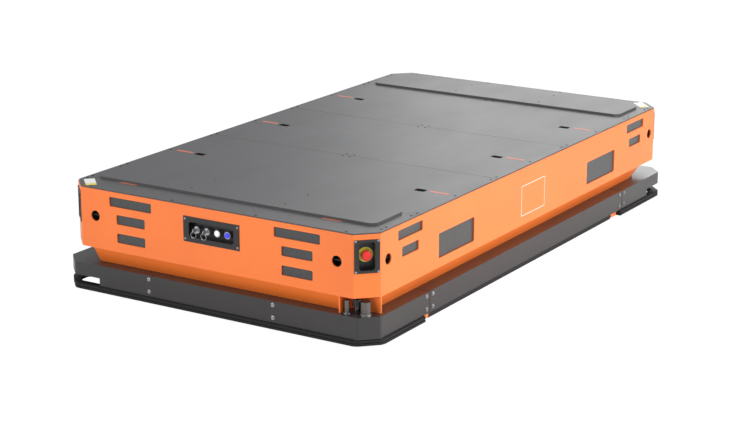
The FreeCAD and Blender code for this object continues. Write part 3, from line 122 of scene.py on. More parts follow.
class RobotStage(bpy.types.PropertyGroup):
    """Camera and light."""

    azimuth: bpy.props.FloatProperty(
        name="Azimuth", description="Camera turn from the front towards the right side",
        subtype="ANGLE", unit="ROTATION", default=radians(32.07))
    elevation: bpy.props.FloatProperty(
        name="Elevation", description="Camera height above the horizon",
        subtype="ANGLE", unit="ROTATION", default=radians(16.05))
    distance: bpy.props.FloatProperty(
        name="Distance", description="Camera distance from its aim", subtype="DISTANCE",
        unit="LENGTH", min=1, default=7.54)
    aim: bpy.props.FloatVectorProperty(
        name="Aim", description="Point the camera looks at", subtype="TRANSLATION",
        unit="LENGTH", size=3, default=(0.585, -1.063, 0.455))
    lens: bpy.props.FloatProperty(
        name="Lens", description="Focal length in millimetres", min=20, max=300,
        default=95.8)
    backdrop: bpy.props.FloatProperty(
        name="Backdrop", description="Strength of the white behind the robot", min=0,
        max=2, default=1.06)


# ---------------------------------------------------------------- finishes


class Field:
    """A node's output that takes part in sums, so that a pattern reads as a formula."""

    def __init__(self, finish, socket):
        self.finish = finish
        self.socket = socket

    def maths(self, operation, *values):
        return self.finish.node("ShaderNodeMath", {"operation": operation}, values)

    def __add__(self, other):
        return self.maths("ADD", self, other)

    def __sub__(self, other):
        return self.maths("SUBTRACT", self, other)

    def __rsub__(self, other):
        return self.maths("SUBTRACT", other, self)

    def __mul__(self, other):
        return self.maths("MULTIPLY", self, other)

    def between(self, low, high):
        """0 below low, 1 above high and a smooth step in between."""
        return self.finish.node("ShaderNodeMapRange", {"interpolation_type": "SMOOTHSTEP"},
                                {"Value": self, "From Min": low, "From Max": high})

    __radd__ = __add__
    __rmul__ = __mul__


class Nodes:
    """A tree whose nodes all come from one method."""

    def __init__(self, tree):
        self.tree = tree

    def node(self, kind, settings=None, inputs=(), output=0):
        """Adds a node, with its settings first, then its sockets' values or links."""
        node = self.tree.nodes.new(kind)
        for key, value in (settings or {}).items():
            setattr(node, key, value)
        pairs = inputs.items() if isinstance(inputs, dict) else enumerate(inputs)
        for key, value in pairs:
            if isinstance(value, Field):
                self.tree.links.new(value.socket, node.inputs[key])
            else:
                node.inputs[key].default_value = value
        return Field(self, node.outputs[output])

    def surface(self, field):
        """Makes a shader the surface of the material or the world."""
        out = next(node for node in self.tree.nodes if "Surface" in node.inputs)
        self.tree.links.new(field.socket, out.inputs["Surface"])


class Finish(Nodes):
    """One material and the nodes that give it its detail."""

    def __init__(self, name, colour, **constants):
        self.material = bpy.data.materials.new(name)
        self.material.use_nodes = True
        super().__init__(self.material.node_tree)
        self.shader = self.tree.nodes["Principled BSDF"]
        self.colour = tuple(colour) + (1.0,)
        self.shader.inputs["Base Color"].default_value = self.colour
        for socket, value in constants.items():
            self.shader.inputs[socket.replace("_", " ")].default_value = value
        self.place = self.node("ShaderNodeTexCoord", {}, {}, "Object")

    def noise(self, scale, detail=2.0, rough=0.5, stretch=None):
        """Noise whose scale is in cells per metre."""
        place = self.place
        if stretch:
            place = self.node("ShaderNodeMapping", {}, {"Vector": place, "Scale": stretch})
        return self.node("ShaderNodeTexNoise", {}, {
            "Vector": place, "Scale": scale, "Detail": detail, "Roughness": rough})

    def blend(self, factor, first, second):
        """Mixes two colours, each a colour or a Field."""
        colours = [c if isinstance(c, Field) else tuple(c) + (1.0,) for c in (first, second)]
        return self.node("ShaderNodeMix", {"data_type": "RGBA"},
                         {0: factor, 6: colours[0], 7: colours[1]}, 2)

    def feed(self, socket, field):
        self.tree.links.new(field.socket, self.shader.inputs[socket])
        return self

    def bump(self, height, strength, distance):
        normal = self.node("ShaderNodeBump", {}, {
            "Height": height, "Strength": strength, "Distance": distance})
        return self.feed("Normal", normal)


FINISHES = {}


def shades(colour, dark, light):
    """Two tints of a colour, for slight variation across a surface."""
    return (tuple(c * dark for c in colour), tuple(min(1, c * light) for c in colour))


def paint(name, colour, roughness, grain=900, depth=0.00004, coat=0.0, spread=(0.94, 1.05)):
    """Powder coat: fine orange peel, a faint cloud of tone and handled patches."""
    finish = Finish(name, colour, Coat_Weight=coat, Coat_Roughness=0.12)
    cloud = finish.noise(2.2, 3).between(0.3, 0.7)
    finish.feed("Base Color", finish.blend(cloud, *shades(colour, *spread)))
    rubbed = finish.noise(7, 4, 0.6, (1, 0.4, 1))
    finish.feed("Roughness", rubbed * 0.12 + (roughness - 0.06))
    finish.bump(finish.noise(grain, 1), 0.35, depth)
    FINISHES[name] = finish.material


def plastic(name, colour, roughness, grain=1400, depth=0.00002, **constants):
    """Moulded plastic with a fine spark-eroded grain."""
    finish = Finish(name, colour, **constants)
    cloud = finish.noise(30, 2).between(0.3, 0.7)
    finish.feed("Base Color", finish.blend(cloud, *shades(colour, 0.93, 1.06)))
    finish.feed("Roughness", finish.noise(80, 3) * 0.14 + (roughness - 0.07))
    finish.bump(finish.noise(grain, 1), 0.3, depth)
    FINISHES[name] = finish.material


def metal(name, colour, roughness, stretch=(1, 1, 1), grain=600, depth=0.00002):
    """Bare metal with drawn or ground lines along one way."""
    finish = Finish(name, colour, Metallic=1.0)
    lines = finish.noise(grain, 2, 0.6, stretch)
    finish.feed("Base Color", finish.blend(finish.noise(14, 3), *shades(colour, 0.86, 1.08)))
    finish.feed("Roughness", lines * 0.2 + (roughness - 0.1))
    finish.bump(lines, 0.25, depth)
    FINISHES[name] = finish.material


def rubber(name, colour, roughness):
    """Dull rubber with dust in its pores."""
    finish = Finish(name, colour, Specular_IOR_Level=0.35)
    dust = finish.noise(45, 4, 0.6).between(0.45, 0.8)
    dusty = tuple(0.5 * c + 0.02 for c in colour)
    finish.feed("Base Color", finish.blend(dust * 0.5, colour, dusty))
    finish.feed("Roughness", finish.noise(160, 2) * 0.16 + (roughness - 0.08))
    finish.bump(finish.noise(1100, 2), 0.5, 0.00006)
    FINISHES[name] = finish.material


class MakeFinishes(bpy.types.Operator):
    """Makes every finish of the robot"""

    bl_idname = "robot.make_finishes"
    bl_label = "Finishes"

    def execute(self, context):
        tone = context.scene.robot_finishes
        paint("shell_paint", tone.shell, 0.42, coat=0.25)
        paint("deck_paint", tone.deck, 0.46, grain=700, depth=0.00003, spread=(0.96, 1.04))
        paint("ring_paint", tone.ring, 0.38, coat=0.3, grain=800)
        paint("plate_paint", (0.017, 0.017, 0.018), 0.42)
        paint("black_paint", (0.006, 0.006, 0.006), 0.6)
        paint("frame_paint", (0.05, 0.05, 0.053), 0.55)
        paint("cabinet_paint", (0.32, 0.33, 0.33), 0.45)
        plastic("window_panel", tone.window, 0.3)
        plastic("black_plastic", (0.012, 0.012, 0.013), 0.45)
        plastic("dark_lens", (0.006, 0.004, 0.006), 0.08, depth=0.000004, Coat_Weight=0.6)
        plastic("stop_red", tone.stop_red, 0.3)
        plastic("stop_yellow", tone.stop_yellow, 0.4)
        # Painted glow: the white and blue button caps carry a faint emission of their own, which
        # makes them brighter than the lamps alone would
        plastic("button_white", (0.85, 0.85, 0.84), 0.3,
                Emission_Color=(1, 1, 1, 1), Emission_Strength=0.25)
        plastic("button_blue", (0.05, 0.05, 0.8), 0.25,
                Emission_Color=(0.03, 0.03, 0.9, 1), Emission_Strength=0.35)
        plastic("label_white", (0.82, 0.82, 0.8), 0.35)
        plastic("label_yellow", (0.75, 0.6, 0.1), 0.35)
        plastic("deck_mark", (0.62, 0.16, 0.08), 0.5)
        plastic("side_mark", (0.85, 0.82, 0.78), 0.45)
        plastic("battery_case", (0.035, 0.04, 0.05), 0.5)
        metal("steel", (0.42, 0.42, 0.43), 0.38, (1, 1, 8))
        metal("zinc", (0.55, 0.56, 0.58), 0.3, (4, 1, 1))
        metal("chrome", (0.72, 0.72, 0.73), 0.16, depth=0.000005)
        metal("dark_steel", (0.09, 0.095, 0.1), 0.4)
        metal("screw_steel", (0.018, 0.018, 0.019), 0.5)
        metal("post_steel", (0.2, 0.19, 0.18), 0.45, (4, 4, 1))
        metal("casting", (0.36, 0.37, 0.39), 0.5, grain=300, depth=0.00006)
        rubber("strip_rubber", (0.010, 0.010, 0.010), 0.6)
        rubber("roller_rubber", (0.02, 0.02, 0.021), 0.7)
        return {"FINISHED"}


NODE_FINISHES = {
    "shell_paint": ["upper_shell", "chassis_frame", "floor_plate", "chassis_walls",
                    "chassis_webs"],
    "deck_paint": ["deck_front_strip", "deck_front_plate", "deck_middle_plate",
                   "deck_rear_plate", "deck_rear_strip", "deck_front_cover",
                   "deck_rear_cover"],
    "ring_paint": ["bumper_front", "bumper_rear", "bumper_left", "bumper_right"],
    "plate_paint": ["estop_plates", "control_panel"],
    "black_paint": ["lift_grips", "side_skirts", "tie_down_points"],
    "frame_paint": ["front_axle_cradle", "rear_axle_cradle"],
    "cabinet_paint": ["controller_cabinet", "power_cabinet"],
    "window_panel": ["end_windows", "side_windows", "service_panels"],
    "black_plastic": ["estop_contact_blocks"],
    "stop_yellow": ["estop_collars"],
    "battery_case": ["battery_modules"],
    "steel": ["axle_pivot_pins", "key_left", "key_right"],
    "zinc": ["key_switches", "push_button_bezels"],
    "casting": ["front_gearmotors", "rear_gearmotors"],
    "strip_rubber": ["safety_strip_front", "safety_strip_rear"],
    "dark_steel": ["wheel_" + corner for corner in CORNERS],
}


class DressFrame(bpy.types.Operator):
    """Gives each solid of the frame its finish"""

    bl_idname = "robot.dress_frame"
    bl_label = "Frame finishes"

    def execute(self, context):
        for finish, nodes in NODE_FINISHES.items():
            for name in nodes:
                dress(frame["nodes"][name], finish)
        return {"FINISHED"}


def dress(item, finish):
    for slot in item.material_slots:
        slot.material = FINISHES[finish]
    if not item.material_slots:
        item.data.materials.append(FINISHES[finish])


# ---------------------------------------------------------------- shaping helpers


def settle(name, shape, finish, body, replaced=(), sharp=35):
    """Turns a bmesh into a piece of the robot that rides on a body."""
    bmesh.ops.remove_doubles(shape, verts=shape.verts, dist=1e-6)
    bmesh.ops.recalc_face_normals(shape, faces=shape.faces)
    for face in shape.faces:
        face.smooth = True
    mesh = bpy.data.meshes.new(name)
    shape.to_mesh(mesh)
    shape.free()
    mesh.set_sharp_from_angle(angle=radians(sharp))
    item = bpy.data.objects.new(name, mesh)
    bpy.context.scene.collection.objects.link(item)
    mesh.materials.append(FINISHES[finish])
    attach(item, body)
    if replaced:
        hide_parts(*replaced)
    return item


def carry(shape, verts, matrix):
    """Moves vertices by a matrix and gives them back."""
    bmesh.ops.transform(shape, matrix=matrix, verts=verts)
    return verts


def block(shape, low, high, ease=0.0, segments=2, matrix=None):
    """A box between two corners with its edges eased."""
    low, high = Vector(low), Vector(high)
    size = high - low
    made = bmesh.ops.create_cube(shape, size=1)["verts"]
    carry(shape, made, Matrix.Translation((low + high) / 2) @ Matrix.Diagonal((*size, 1)))
    if ease:
        edges = {edge for vert in made for edge in vert.link_edges}
        made = bevelled(shape, edges, ease, segments)
    if matrix is not None:
        carry(shape, made, matrix)
    return made


def connected(verts):
    """Every vertex that edges join to the given ones."""
    found = set(verts)
    waiting = list(verts)
    while waiting:
        for edge in waiting.pop().link_edges:
            for vert in edge.verts:
                if vert not in found:
                    found.add(vert)
                    waiting.append(vert)
    return list(found)


def bevelled(shape, edges, ease, segments=2):
    """Bevels edges and returns every vertex of the piece that they belong to."""
    result = bmesh.ops.bevel(shape, geom=list(edges), offset=ease, offset_type="OFFSET",
                             segments=segments, profile=0.5, affect="EDGES", material=-1)
    start = result["verts"][0] if result["verts"] else result["faces"][0].verts[0]
    return connected([start])


def turned(shape, outline, steps=32, matrix=None):
    """Spins an outline of (radius, height) points about Z."""
    verts = [shape.verts.new((radius, 0, height)) for radius, height in outline]
    edges = [shape.edges.new(pair) for pair in zip(verts, verts[1:])]
    bmesh.ops.spin(shape, geom=verts + edges, cent=(0, 0, 0), axis=(0, 0, 1),
                   angle=2 * pi, steps=steps, use_merge=True)
    found = connected(verts)
    bmesh.ops.remove_doubles(shape, verts=found, dist=1e-7)
    found = [vert for vert in found if vert.is_valid]
    if matrix is not None:
        carry(shape, found, matrix)
    return found


def at(x, y, z):
    return Matrix.Translation((x, y, z))


def millimetres(outline):
    """An outline given in millimetres, in metres."""
    return [(radius * MM, height * MM) for radius, height in outline]


FACING = {
    "up": Matrix.Identity(4),
    "front": Matrix.Rotation(pi / 2, 4, "X"),
    "rear": Matrix.Rotation(-pi / 2, 4, "X"),
    "right": Matrix.Rotation(pi / 2, 4, "Y"),
    "left": Matrix.Rotation(-pi / 2, 4, "Y"),
}


def corner_frame(corner):
    """Axes of a cut corner's face: X outward, Z up, from the middle of the stop button."""
    sx, sy = CORNERS[corner]
    low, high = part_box("estop_head_" + corner)
    middle = (low + high) / 2
    inset = (HALF_X - abs(middle.x) + HALF_Y - abs(middle.y)) / 2
    shift = inset - CORNER_CUT / 2
    centre = Vector((middle.x + sx * shift, middle.y + sy * shift, middle.z))
    return at(*centre) @ Matrix.Rotation(atan2(sy, sx), 4, "Z")


def screw(shape, radius, matrix, steps=12):
    """A socket screw's head: a dish with a round recess."""
    rise = radius * 0.16
    key = radius * 0.5
    turned(shape, [
        (0, -radius * 0.35),
        (key, -radius * 0.35),
        (key, rise * 0.9),
        (radius * 0.86, rise),
        (radius, rise * 0.4),
        (radius, -radius * 0.2),
        (radius * 0.6, -radius * 0.4),
    ], steps, matrix)


# ---------------------------------------------------------------- deck


SCREWS_FROM_MIDDLE = (0, 295, 343, 635, 930, 974, 1156, 1191)
END_SCREWS_FROM_MIDDLE = (200, 612)
SCREW_INSET = 17 * MM
CLUSTER_STEP = 18 * MM
GRIP_MARK_X = 633 * MM
GRIP_MARK_ROWS = (-630 * MM, 10 * MM, 645 * MM)
STRIP_MARKS = ((-502 * MM, -1179.5 * MM), (481 * MM, -1180 * MM))
LABEL_INSET = Vector((75 * MM, 62 * MM))
LABEL_HALF = Vector((50 * MM, 22 * MM))
LABEL_SPLIT = 22 * MM


class MakeDeckFittings(bpy.types.Operator):
    """Screws, marks and label plates on the deck"""

    bl_idname = "robot.make_deck_fittings"
    bl_label = "Deck fittings"

    def execute(self, context):
        fittings = context.scene.robot_fittings
        self.screws(fittings.screw_radius)
        self.marks(fittings.mark_length, fittings.mark_width)
        self.labels()
        return {"FINISHED"}

    def screws(self, radius):
        shape = bmesh.new()
        edge = PLATE_HIGH.x - SCREW_INSET
        rows = {sign * row * MM for row in SCREWS_FROM_MIDDLE for sign in (-1, 1)}
        spots = [(side * edge, row) for row in sorted(rows) for side in (-1, 1)]
        end = HALF_Y - SCREW_INSET
        spots += [(side * x * MM, y) for x in END_SCREWS_FROM_MIDDLE for side in (-1, 1)
                  for y in (-end, end)]
        pair = (-CLUSTER_STEP, CLUSTER_STEP)
        for sign in (-1, 1):
            seam = sign * (PLATE_HIGH.y + 1 * MM)
            spots += [(x, seam + y) for x in pair for y in pair]
            far = sign * (abs(COVER_FRONT) - 21 * MM)
            spots += [(x, far) for x in pair]
        for x, y in spots:
            screw(shape, radius, at(x, y, DECK_TOP))
        settle("deck_screws", shape, "screw_steel", "chassis")

    def marks(self, length, width):
        shape = bmesh.new()
        for row in GRIP_MARK_ROWS:
            for x in (-GRIP_MARK_X, GRIP_MARK_X):
                low = (x - length / 2, row - width / 2, DECK_TOP - FILM)
                high = (x + length / 2, row + width / 2, DECK_TOP + FILM)
                block(shape, low, high, FILM / 2, 1)
        for x, y in STRIP_MARKS:
            block(shape, (x - length / 2, y - width / 3, DECK_TOP - FILM),
                  (x + length / 2, y + width / 3, DECK_TOP + FILM), FILM / 2, 1)
        settle("deck_marks", shape, "deck_mark", "chassis")

    def labels(self):
        white, yellow = bmesh.new(), bmesh.new()
        reach, half = LABEL_HALF
        rise = 0.5 * MM
        for sign in (-1, 1):
            turn = at(sign * (HALF_X - LABEL_INSET.x), sign * (HALF_Y - LABEL_INSET.y), DECK_TOP)
            turn = turn @ Matrix.Rotation(radians(-45), 4, "Z")
            for shape, start, stop in ((white, -reach, LABEL_SPLIT),
                                       (yellow, LABEL_SPLIT + rise, reach)):
                block(shape, (start, -half, -MM), (stop, half, rise), FILM / 2, 1, turn)
        settle("corner_labels", white, "label_white", "chassis")
        settle("corner_label_ends", yellow, "label_yellow", "chassis")


# ---------------------------------------------------------------- stop buttons


STOP_SCREW_OUT = 3.1 * MM
STOP_SCREW_ACROSS = 44 * MM
STOP_SCREW_UP = 60 * MM


class MakeStopButtons(bpy.types.Operator):
    """Stop buttons with their heads and plate screws"""

    bl_idname = "robot.make_stop_buttons"
    bl_label = "Stop buttons"

    def execute(self, context):
        radius = context.scene.robot_fittings.panel_screw_radius
        screws = bmesh.new()
        out = FACING["right"]
        for corner in CORNERS:
            face = corner_frame(corner)
            for y in (-STOP_SCREW_ACROSS, STOP_SCREW_ACROSS):
                for z in (-STOP_SCREW_UP, STOP_SCREW_UP):
                    screw(screws, radius, face @ at(STOP_SCREW_OUT, y, z) @ out)
            self.head(corner, face @ out)
        settle("stop_plate_screws", screws, "zinc", "chassis")
        return {"FINISHED"}

    def head(self, corner, matrix):
        shape = bmesh.new()
        outline = [
            (0, -54), (10.9, -54), (10.9, -17), (13, -16.4), (17, -16), (19.3, -15),
            (20, -13), (20, -11.6), (19.4, -11), (19.4, -10.4), (20, -9.8), (19.8, -8),
            (18.6, -6.2), (16.4, -5.0), (12, -4.3), (6, -4.05), (0, -4),
        ]
        turned(shape, millimetres(outline), 48, matrix)
        settle("stop_head_" + corner, shape, "stop_red", "stop_" + corner,
               ["estop_head_" + corner], sharp=50)


# ---------------------------------------------------------------- control panel


PANEL_SCREW_INSET_X = 8 * MM
PANEL_SCREW_INSET_Z = 11 * MM


class MakeControls(bpy.types.Operator):
    """Buttons, rings and screws of the control panel"""

    bl_idname = "robot.make_controls"
    bl_label = "Controls"

    def execute(self, context):
        radius = context.scene.robot_fittings.panel_screw_radius
        low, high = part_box("control_panel")
        screws = bmesh.new()
        for x in (low.x + PANEL_SCREW_INSET_X, high.x - PANEL_SCREW_INSET_X):
            for z in (low.z + PANEL_SCREW_INSET_Z, high.z - PANEL_SCREW_INSET_Z):
                screw(screws, radius, at(x, low.y - 0.1 * MM, z) @ FACING["front"])
        settle("panel_screws", screws, "zinc", "chassis")
        for colour in ("white", "blue"):
            self.button(colour)
        for side in ("left", "right"):
            self.ring(side)
        return {"FINISHED"}

    def button(self, colour):
        low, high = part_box(colour + "_button")
        middle = (low + high) / 2
        radius = (high.x - low.x) / 2
        deep = high.y - low.y
        shape = bmesh.new()
        outline = [(0, -deep), (radius, -deep), (radius, -1.6 * MM), (radius * 0.93, -0.7 * MM),
                   (radius * 0.8, -0.2 * MM), (radius * 0.5, -0.02 * MM), (0, 0)]
        turned(shape, outline, 40, at(middle.x, low.y, middle.z) @ FACING["front"])
        # The caps take the button finishes, whose faint emission is a painted glow
        settle(colour + "_cap", shape, "button_" + colour, colour + "_button",
               [colour + "_button"], sharp=50)

    def ring(self, side):
        node = "key_ring_" + side
        low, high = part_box(node)
        middle = (low + high) / 2
        wire = (high.y - low.y) / 2
        radius = (high.x - low.x) / 2 - wire
        shape = bmesh.new()
        made = bmesh.ops.create_circle(shape, segments=10, radius=wire)["verts"]
        stand = Matrix.Rotation(pi / 2, 4, "X")
        carry(shape, made, at(radius, 0, 0) @ stand)
        edges = list({edge for vert in made for edge in vert.link_edges})
        bmesh.ops.spin(shape, geom=made + edges, cent=(0, 0, 0), axis=(0, 0, 1),
                       angle=2 * pi, steps=48, use_merge=True)
        carry(shape, shape.verts, at(*middle) @ FACING["front"])
        settle(node + "_wire", shape, "chrome", node, [node], sharp=80)


# ---------------------------------------------------------------- bumper ring


RING_ROWS = (70.5 * MM, 122 * MM)
RING_SCREW_X = 300 * MM
RING_SEAM = 1.5 * MM
SEAM_SCREW_STEP = 24 * MM


class MakeRingFittings(bpy.types.Operator):
    """Screws of the bumper ring"""

    bl_idname = "robot.make_ring_fittings"
    bl_label = "Bumper fittings"

    def execute(self, context):
        low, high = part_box("bumper_front")
        rear_low, rear_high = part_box("bumper_rear")
        seams = (high.y + RING_SEAM, rear_low.y - RING_SEAM)
        shape = bmesh.new()
        for z in RING_ROWS:
            for x in (-RING_SCREW_X, RING_SCREW_X):
                self.bolt(shape, at(x, low.y, z) @ FACING["front"])
                self.bolt(shape, at(x, rear_high.y, z) @ FACING["rear"])
            for seam in seams:
                for step in (-SEAM_SCREW_STEP, SEAM_SCREW_STEP):
                    self.bolt(shape, at(high.x, seam + step, z) @ FACING["right"])
                    self.bolt(shape, at(low.x, seam + step, z) @ FACING["left"])
        settle("ring_bolts", shape, "steel", "chassis", ["bumper_bolts"])
        return {"FINISHED"}

    def bolt(self, shape, matrix):
        outline = [(0, 0.6), (3.2, 0.6), (3.4, 3.2), (5.6, 3.9), (7.2, 3.2), (7.6, 1.2),
                   (9.0, 1.0), (9.2, 0)]
        turned(shape, millimetres(outline), 18, matrix)


# ---------------------------------------------------------------- wheels


ROLLERS = 9
ROLLER_RADIUS = 36 * MM
ROLLER_HALF = 86 * MM
LEAN = 45
CURVE_STEPS = 8


class MakeRollers(bpy.types.Operator):
    """Barrel rollers whose curve keeps the wheel's rim round"""

    bl_idname = "robot.make_rollers"
    bl_label = "Rollers"

    def execute(self, context):
        for corner, (sx, sy) in CORNERS.items():
            node = "rollers_" + corner
            joint = next(j for j in frame["joints"] if j["name"] == f"wheel_{corner}_spin")
            centre = Vector(joint["pos_m"])
            self.wheel(node, corner, centre, LEAN * sx * sy)
        return {"FINISHED"}

    def wheel(self, node, corner, centre, lean):
        wheel_radius = centre.z
        ring = wheel_radius - ROLLER_RADIUS
        barrel = [(0, -ROLLER_HALF)]
        for step in range(-CURVE_STEPS, CURVE_STEPS + 1):
            along = ROLLER_HALF * step / CURVE_STEPS
            barrel.append((wheel_radius - hypot(ring, along * sin(radians(lean))), along))
        barrel.append((0, ROLLER_HALF))
        shape = bmesh.new()
        for number in range(ROLLERS):
            turn = Matrix.Rotation(2 * pi / ROLLERS * number, 4, "Z")
            tilt = at(ring, 0, 0) @ Matrix.Rotation(radians(lean), 4, "X")
            wheel = at(*centre) @ Matrix.Rotation(pi / 2, 4, "Y")
            turned(shape, barrel, 28, wheel @ turn @ tilt)
        settle(node + "_barrels", shape, "roller_rubber", "wheel_" + corner, [node], sharp=50)


# ---------------------------------------------------------------- scanners


UPPER_DRUM = 18 * MM
LOWER_DRUM = 36 * MM
THICK_POST = (22, 32)
THIN_POST_X = 616 * MM
THIN_FLANGE = 16


class MakeScanners(bpy.types.Operator):
    """Scanners and their guard posts in the corner bays"""

    bl_idname = "robot.make_scanners"
    bl_label = "Scanners"

    def execute(self, context):
        self.upper_drums()
        self.lower_drums()
        self.guard_posts()
        return {"FINISHED"}

    def upper_drums(self):
        low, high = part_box("upper_scanners")
        cases, lenses = bmesh.new(), bmesh.new()
        case = [(0, 0), (17.6, 0), (18, 0.5), (18, 3.6), (17.4, 4), (13.2, 4.2), (13.2, 29.8),
                (17.2, 30), (18, 30.8), (18, 40), (17.5, 40.4), (17.5, 41.2), (18, 41.6),
                (18, 53.5), (16.8, 55.4), (14, 56), (0, 56)]
        window = [(13.3, 4.4), (14, 4.6), (14, 29.4), (13.3, 29.6)]
        for sx, sy in UPPER_BAYS:
            place = at(sx * (high.x - UPPER_DRUM), sy * (high.y - UPPER_DRUM), low.z)
            turned(cases, millimetres(case), 40, place)
            turned(lenses, millimetres(window), 40, place)
        settle("upper_scanner_cases", cases, "black_plastic", "chassis", ["upper_scanners"])
        settle("upper_scanner_windows", lenses, "dark_lens", "chassis")

    def lower_drums(self):
        low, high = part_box("lower_scanners")
        cases, lenses = bmesh.new(), bmesh.new()
        case = [(0, 0), (33, 0), (35.4, 1), (36, 2.6), (36, 7.4), (35.2, 8), (29, 8.2),
                (29, 29.8), (35.2, 30), (36, 30.8), (36, 50), (35.3, 50.5), (35.3, 51.5),
                (36, 52), (36, 72), (0, 72)]
        window = [(29.1, 8.4), (30, 8.6), (30, 29.4), (29.1, 29.6)]
        for sx, sy in LOWER_BAYS:
            place = at(sx * (high.x - LOWER_DRUM), sy * (high.y - LOWER_DRUM), low.z)
            turned(cases, millimetres(case), 48, place)
            turned(lenses, millimetres(window), 48, place)
        settle("lower_scanner_cases", cases, "black_plastic", "chassis", ["lower_scanners"])
        settle("lower_scanner_windows", lenses, "dark_lens", "chassis")

    def guard_posts(self):
        low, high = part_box("scanner_guard_posts")
        flanges, stems = bmesh.new(), bmesh.new()
        top = (high.z - low.z) / MM
        thick_flange, thick_inset = THICK_POST
        for sx, sy in UPPER_BAYS:
            thick = at(sx * (high.x - thick_flange * MM), sy * (high.y - thick_inset * MM), low.z)
            thin = at(sx * THIN_POST_X, sy * (high.y - THIN_FLANGE * MM), low.z)
            for place, flange in ((thick, thick_flange), (thin, THIN_FLANGE)):
                turned(flanges, millimetres([(0, 0), (flange, 0), (flange, 3.2),
                                             (flange - 0.8, 4), (0, 4)]), 36, place)
            self.ribbed(stems, 18, top, place=thick)
            turned(stems, millimetres([(0, 4), (11, 4), (11, top - 1), (10, top), (0, top)]),
                   28, thin)
        settle("guard_post_flanges", flanges, "steel", "chassis", ["scanner_guard_posts"])
        settle("guard_post_stems", stems, "post_steel", "chassis")

    def ribbed(self, shape, radius, top, place, ribs=16):
        """A round stem with flutes cut along it."""
        rims = []
        for height in (4, top):
            rim = []
            for step in range(4 * ribs):
                deep = 1.6 if step % 4 in (0, 1) else 0
                turn = 2 * pi * step / (4 * ribs)
                reach = (radius - deep) * MM
                spot = Vector((reach * cos(turn), reach * sin(turn), height * MM))
                rim.append(shape.verts.new(place @ spot))
            rims.append(rim)
        for first, second in zip(range(-1, len(rims[0]) - 1), range(len(rims[0]))):
            shape.faces.new((rims[0][first], rims[0][second], rims[1][second],
                             rims[1][first]))
        shape.faces.new(rims[0][::-1])
        shape.faces.new(rims[1])


# ---------------------------------------------------------------- side marks


FRAME_Y = (-108 * MM, 103 * MM)
FRAME_Z = (243 * MM, 374 * MM)
FRAME_LINE = 2.5 * MM


class MakeSideMarks(bpy.types.Operator):
    """A plain thin frame on each long side"""

    bl_idname = "robot.make_side_marks"
    bl_label = "Side marks"

    def execute(self, context):
        low_y, high_y = FRAME_Y
        low_z, high_z = FRAME_Z
        shape = bmesh.new()
        for side in (-1, 1):
            x = sorted((side * (HALF_X - FILM), side * (HALF_X + FILM)))
            for z in (low_z, high_z - FRAME_LINE):
                block(shape, (x[0], low_y, z), (x[1], high_y, z + FRAME_LINE))
            for y in (low_y, high_y - FRAME_LINE):
                block(shape, (x[0], y, low_z), (x[1], y + FRAME_LINE, high_z))
        settle("side_frames", shape, "side_mark", "chassis")
        return {"FINISHED"}


# ---------------------------------------------------------------- stage


FLOOR_HALF = 30
FLOOR_GLOW = 0.93
SKY_COLOUR = (0.75, 0.76, 0.78, 1)
SKY_STRENGTH = 0.55
LAMPS = (
    ("key_light", (6.5, 0.5, 2.4), (0, 0, 0.3), 4.5, 415),
    ("back_light", (-1.5, 6.5, 3.6), (0, 0.3, 0.4), 5.0, 195),
    ("fill_light", (-1.5, -6.0, 2.8), (0, 0, 0.3), 4.0, 165),
    ("top_light", (0.5, 0.5, 5.5), (0, 0, 0.4), 4.0, 60),
)


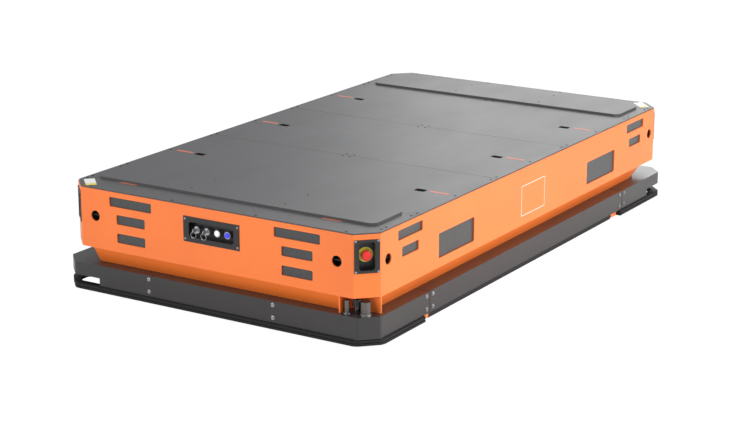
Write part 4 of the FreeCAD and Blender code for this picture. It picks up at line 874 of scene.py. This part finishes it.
class MakeStage(bpy.types.Operator):
    """Floor, light, world and camera"""

    bl_idname = "robot.make_stage"
    bl_label = "Stage"

    def execute(self, context):
        stage = context.scene.robot_stage
        self.floor(stage)
        self.world(context.scene, stage)
        for lamp in LAMPS:
            self.lamp(*lamp)
        self.camera(context.scene, stage)
        context.scene.view_settings.view_transform = "Standard"
        return {"FINISHED"}

    def floor(self, stage):
        shape = bmesh.new()
        bmesh.ops.create_grid(shape, x_segments=1, y_segments=1, size=FLOOR_HALF)
        mesh = bpy.data.meshes.new("studio_floor")
        shape.to_mesh(mesh)
        shape.free()
        floor = bpy.data.objects.new("studio_floor", mesh)
        bpy.context.scene.collection.objects.link(floor)
        finish = Finish("floor_white", (0.82, 0.82, 0.82), Roughness=0.9)
        rays = finish.node("ShaderNodeLightPath", {}, {}, "Is Camera Ray")
        glow = finish.node("ShaderNodeEmission", {}, {"Color": (1, 1, 1, 1),
                                                      "Strength": stage.backdrop})
        lit = Field(finish, finish.shader.outputs[0])
        finish.surface(finish.node("ShaderNodeMixShader", {},
                                   {0: rays * FLOOR_GLOW, 1: lit, 2: glow}))
        mesh.materials.append(finish.material)

    def world(self, scene, stage):
        scene.world = bpy.data.worlds.new("studio")
        scene.world.use_nodes = True
        sky = Nodes(scene.world.node_tree)
        sky.tree.nodes.remove(sky.tree.nodes["Background"])
        rays = sky.node("ShaderNodeLightPath", {}, {}, "Is Camera Ray")
        plain = sky.node("ShaderNodeBackground", {}, {"Color": SKY_COLOUR,
                                                      "Strength": SKY_STRENGTH})
        white = sky.node("ShaderNodeBackground", {}, {"Color": (1, 1, 1, 1),
                                                      "Strength": stage.backdrop})
        sky.surface(sky.node("ShaderNodeMixShader", {}, {0: rays, 1: plain, 2: white}))

    def lamp(self, name, place, aim, size, power):
        light = bpy.data.lights.new(name, "AREA")
        light.shape = "SQUARE"
        light.size = size
        light.energy = power
        item = bpy.data.objects.new(name, light)
        item.location = place
        way = Vector(aim) - Vector(place)
        item.rotation_euler = way.to_track_quat("-Z", "Y").to_euler()
        bpy.context.scene.collection.objects.link(item)

    def camera(self, scene, stage):
        data = bpy.data.cameras.new("camera")
        data.lens = stage.lens
        data.sensor_width = 36
        data.clip_end = 200
        item = bpy.data.objects.new("camera", data)
        turn, lift = stage.azimuth, stage.elevation
        back = Vector((sin(turn) * cos(lift), -cos(turn) * cos(lift), sin(lift)))
        item.location = Vector(stage.aim) + back * stage.distance
        item.rotation_euler = (-back).to_track_quat("-Z", "Y").to_euler()
        scene.collection.objects.link(item)
        scene.camera = item


# ---------------------------------------------------------------- panel and run


MAKERS = (MakeFinishes, DressFrame, MakeDeckFittings, MakeStopButtons, MakeControls,
          MakeRingFittings, MakeRollers, MakeScanners, MakeSideMarks, MakeStage)


class RobotPanel(bpy.types.Panel):
    """Sidebar panel with the robot's settings and makers"""

    bl_idname = "VIEW3D_PT_robot"
    bl_label = "Robot"
    bl_space_type = "VIEW_3D"
    bl_region_type = "UI"
    bl_category = "Robot"

    def draw(self, context):
        layout = self.layout
        for group in ("robot_finishes", "robot_fittings", "robot_stage"):
            box = layout.box()
            settings = getattr(context.scene, group)
            for name in settings.__annotations__:
                box.prop(settings, name)
        for maker in MAKERS:
            layout.operator(maker.bl_idname)


GROUPS = {"robot_finishes": RobotFinishes, "robot_fittings": RobotFittings,
          "robot_stage": RobotStage}


def register():
    for group in GROUPS.values():
        bpy.utils.register_class(group)
    for maker in MAKERS:
        bpy.utils.register_class(maker)
    bpy.utils.register_class(RobotPanel)
    for name, group in GROUPS.items():
        setattr(bpy.types.Scene, name, bpy.props.PointerProperty(type=group))


def unregister():
    for name in GROUPS:
        delattr(bpy.types.Scene, name)
    bpy.utils.unregister_class(RobotPanel)
    for maker in reversed(MAKERS):
        bpy.utils.unregister_class(maker)
    for group in reversed(list(GROUPS.values())):
        bpy.utils.unregister_class(group)


def main():
    register()
    for maker in MAKERS:
        family, name = maker.bl_idname.split(".")
        getattr(getattr(bpy.ops, family), name)()


if __name__ == "__main__":
    main()
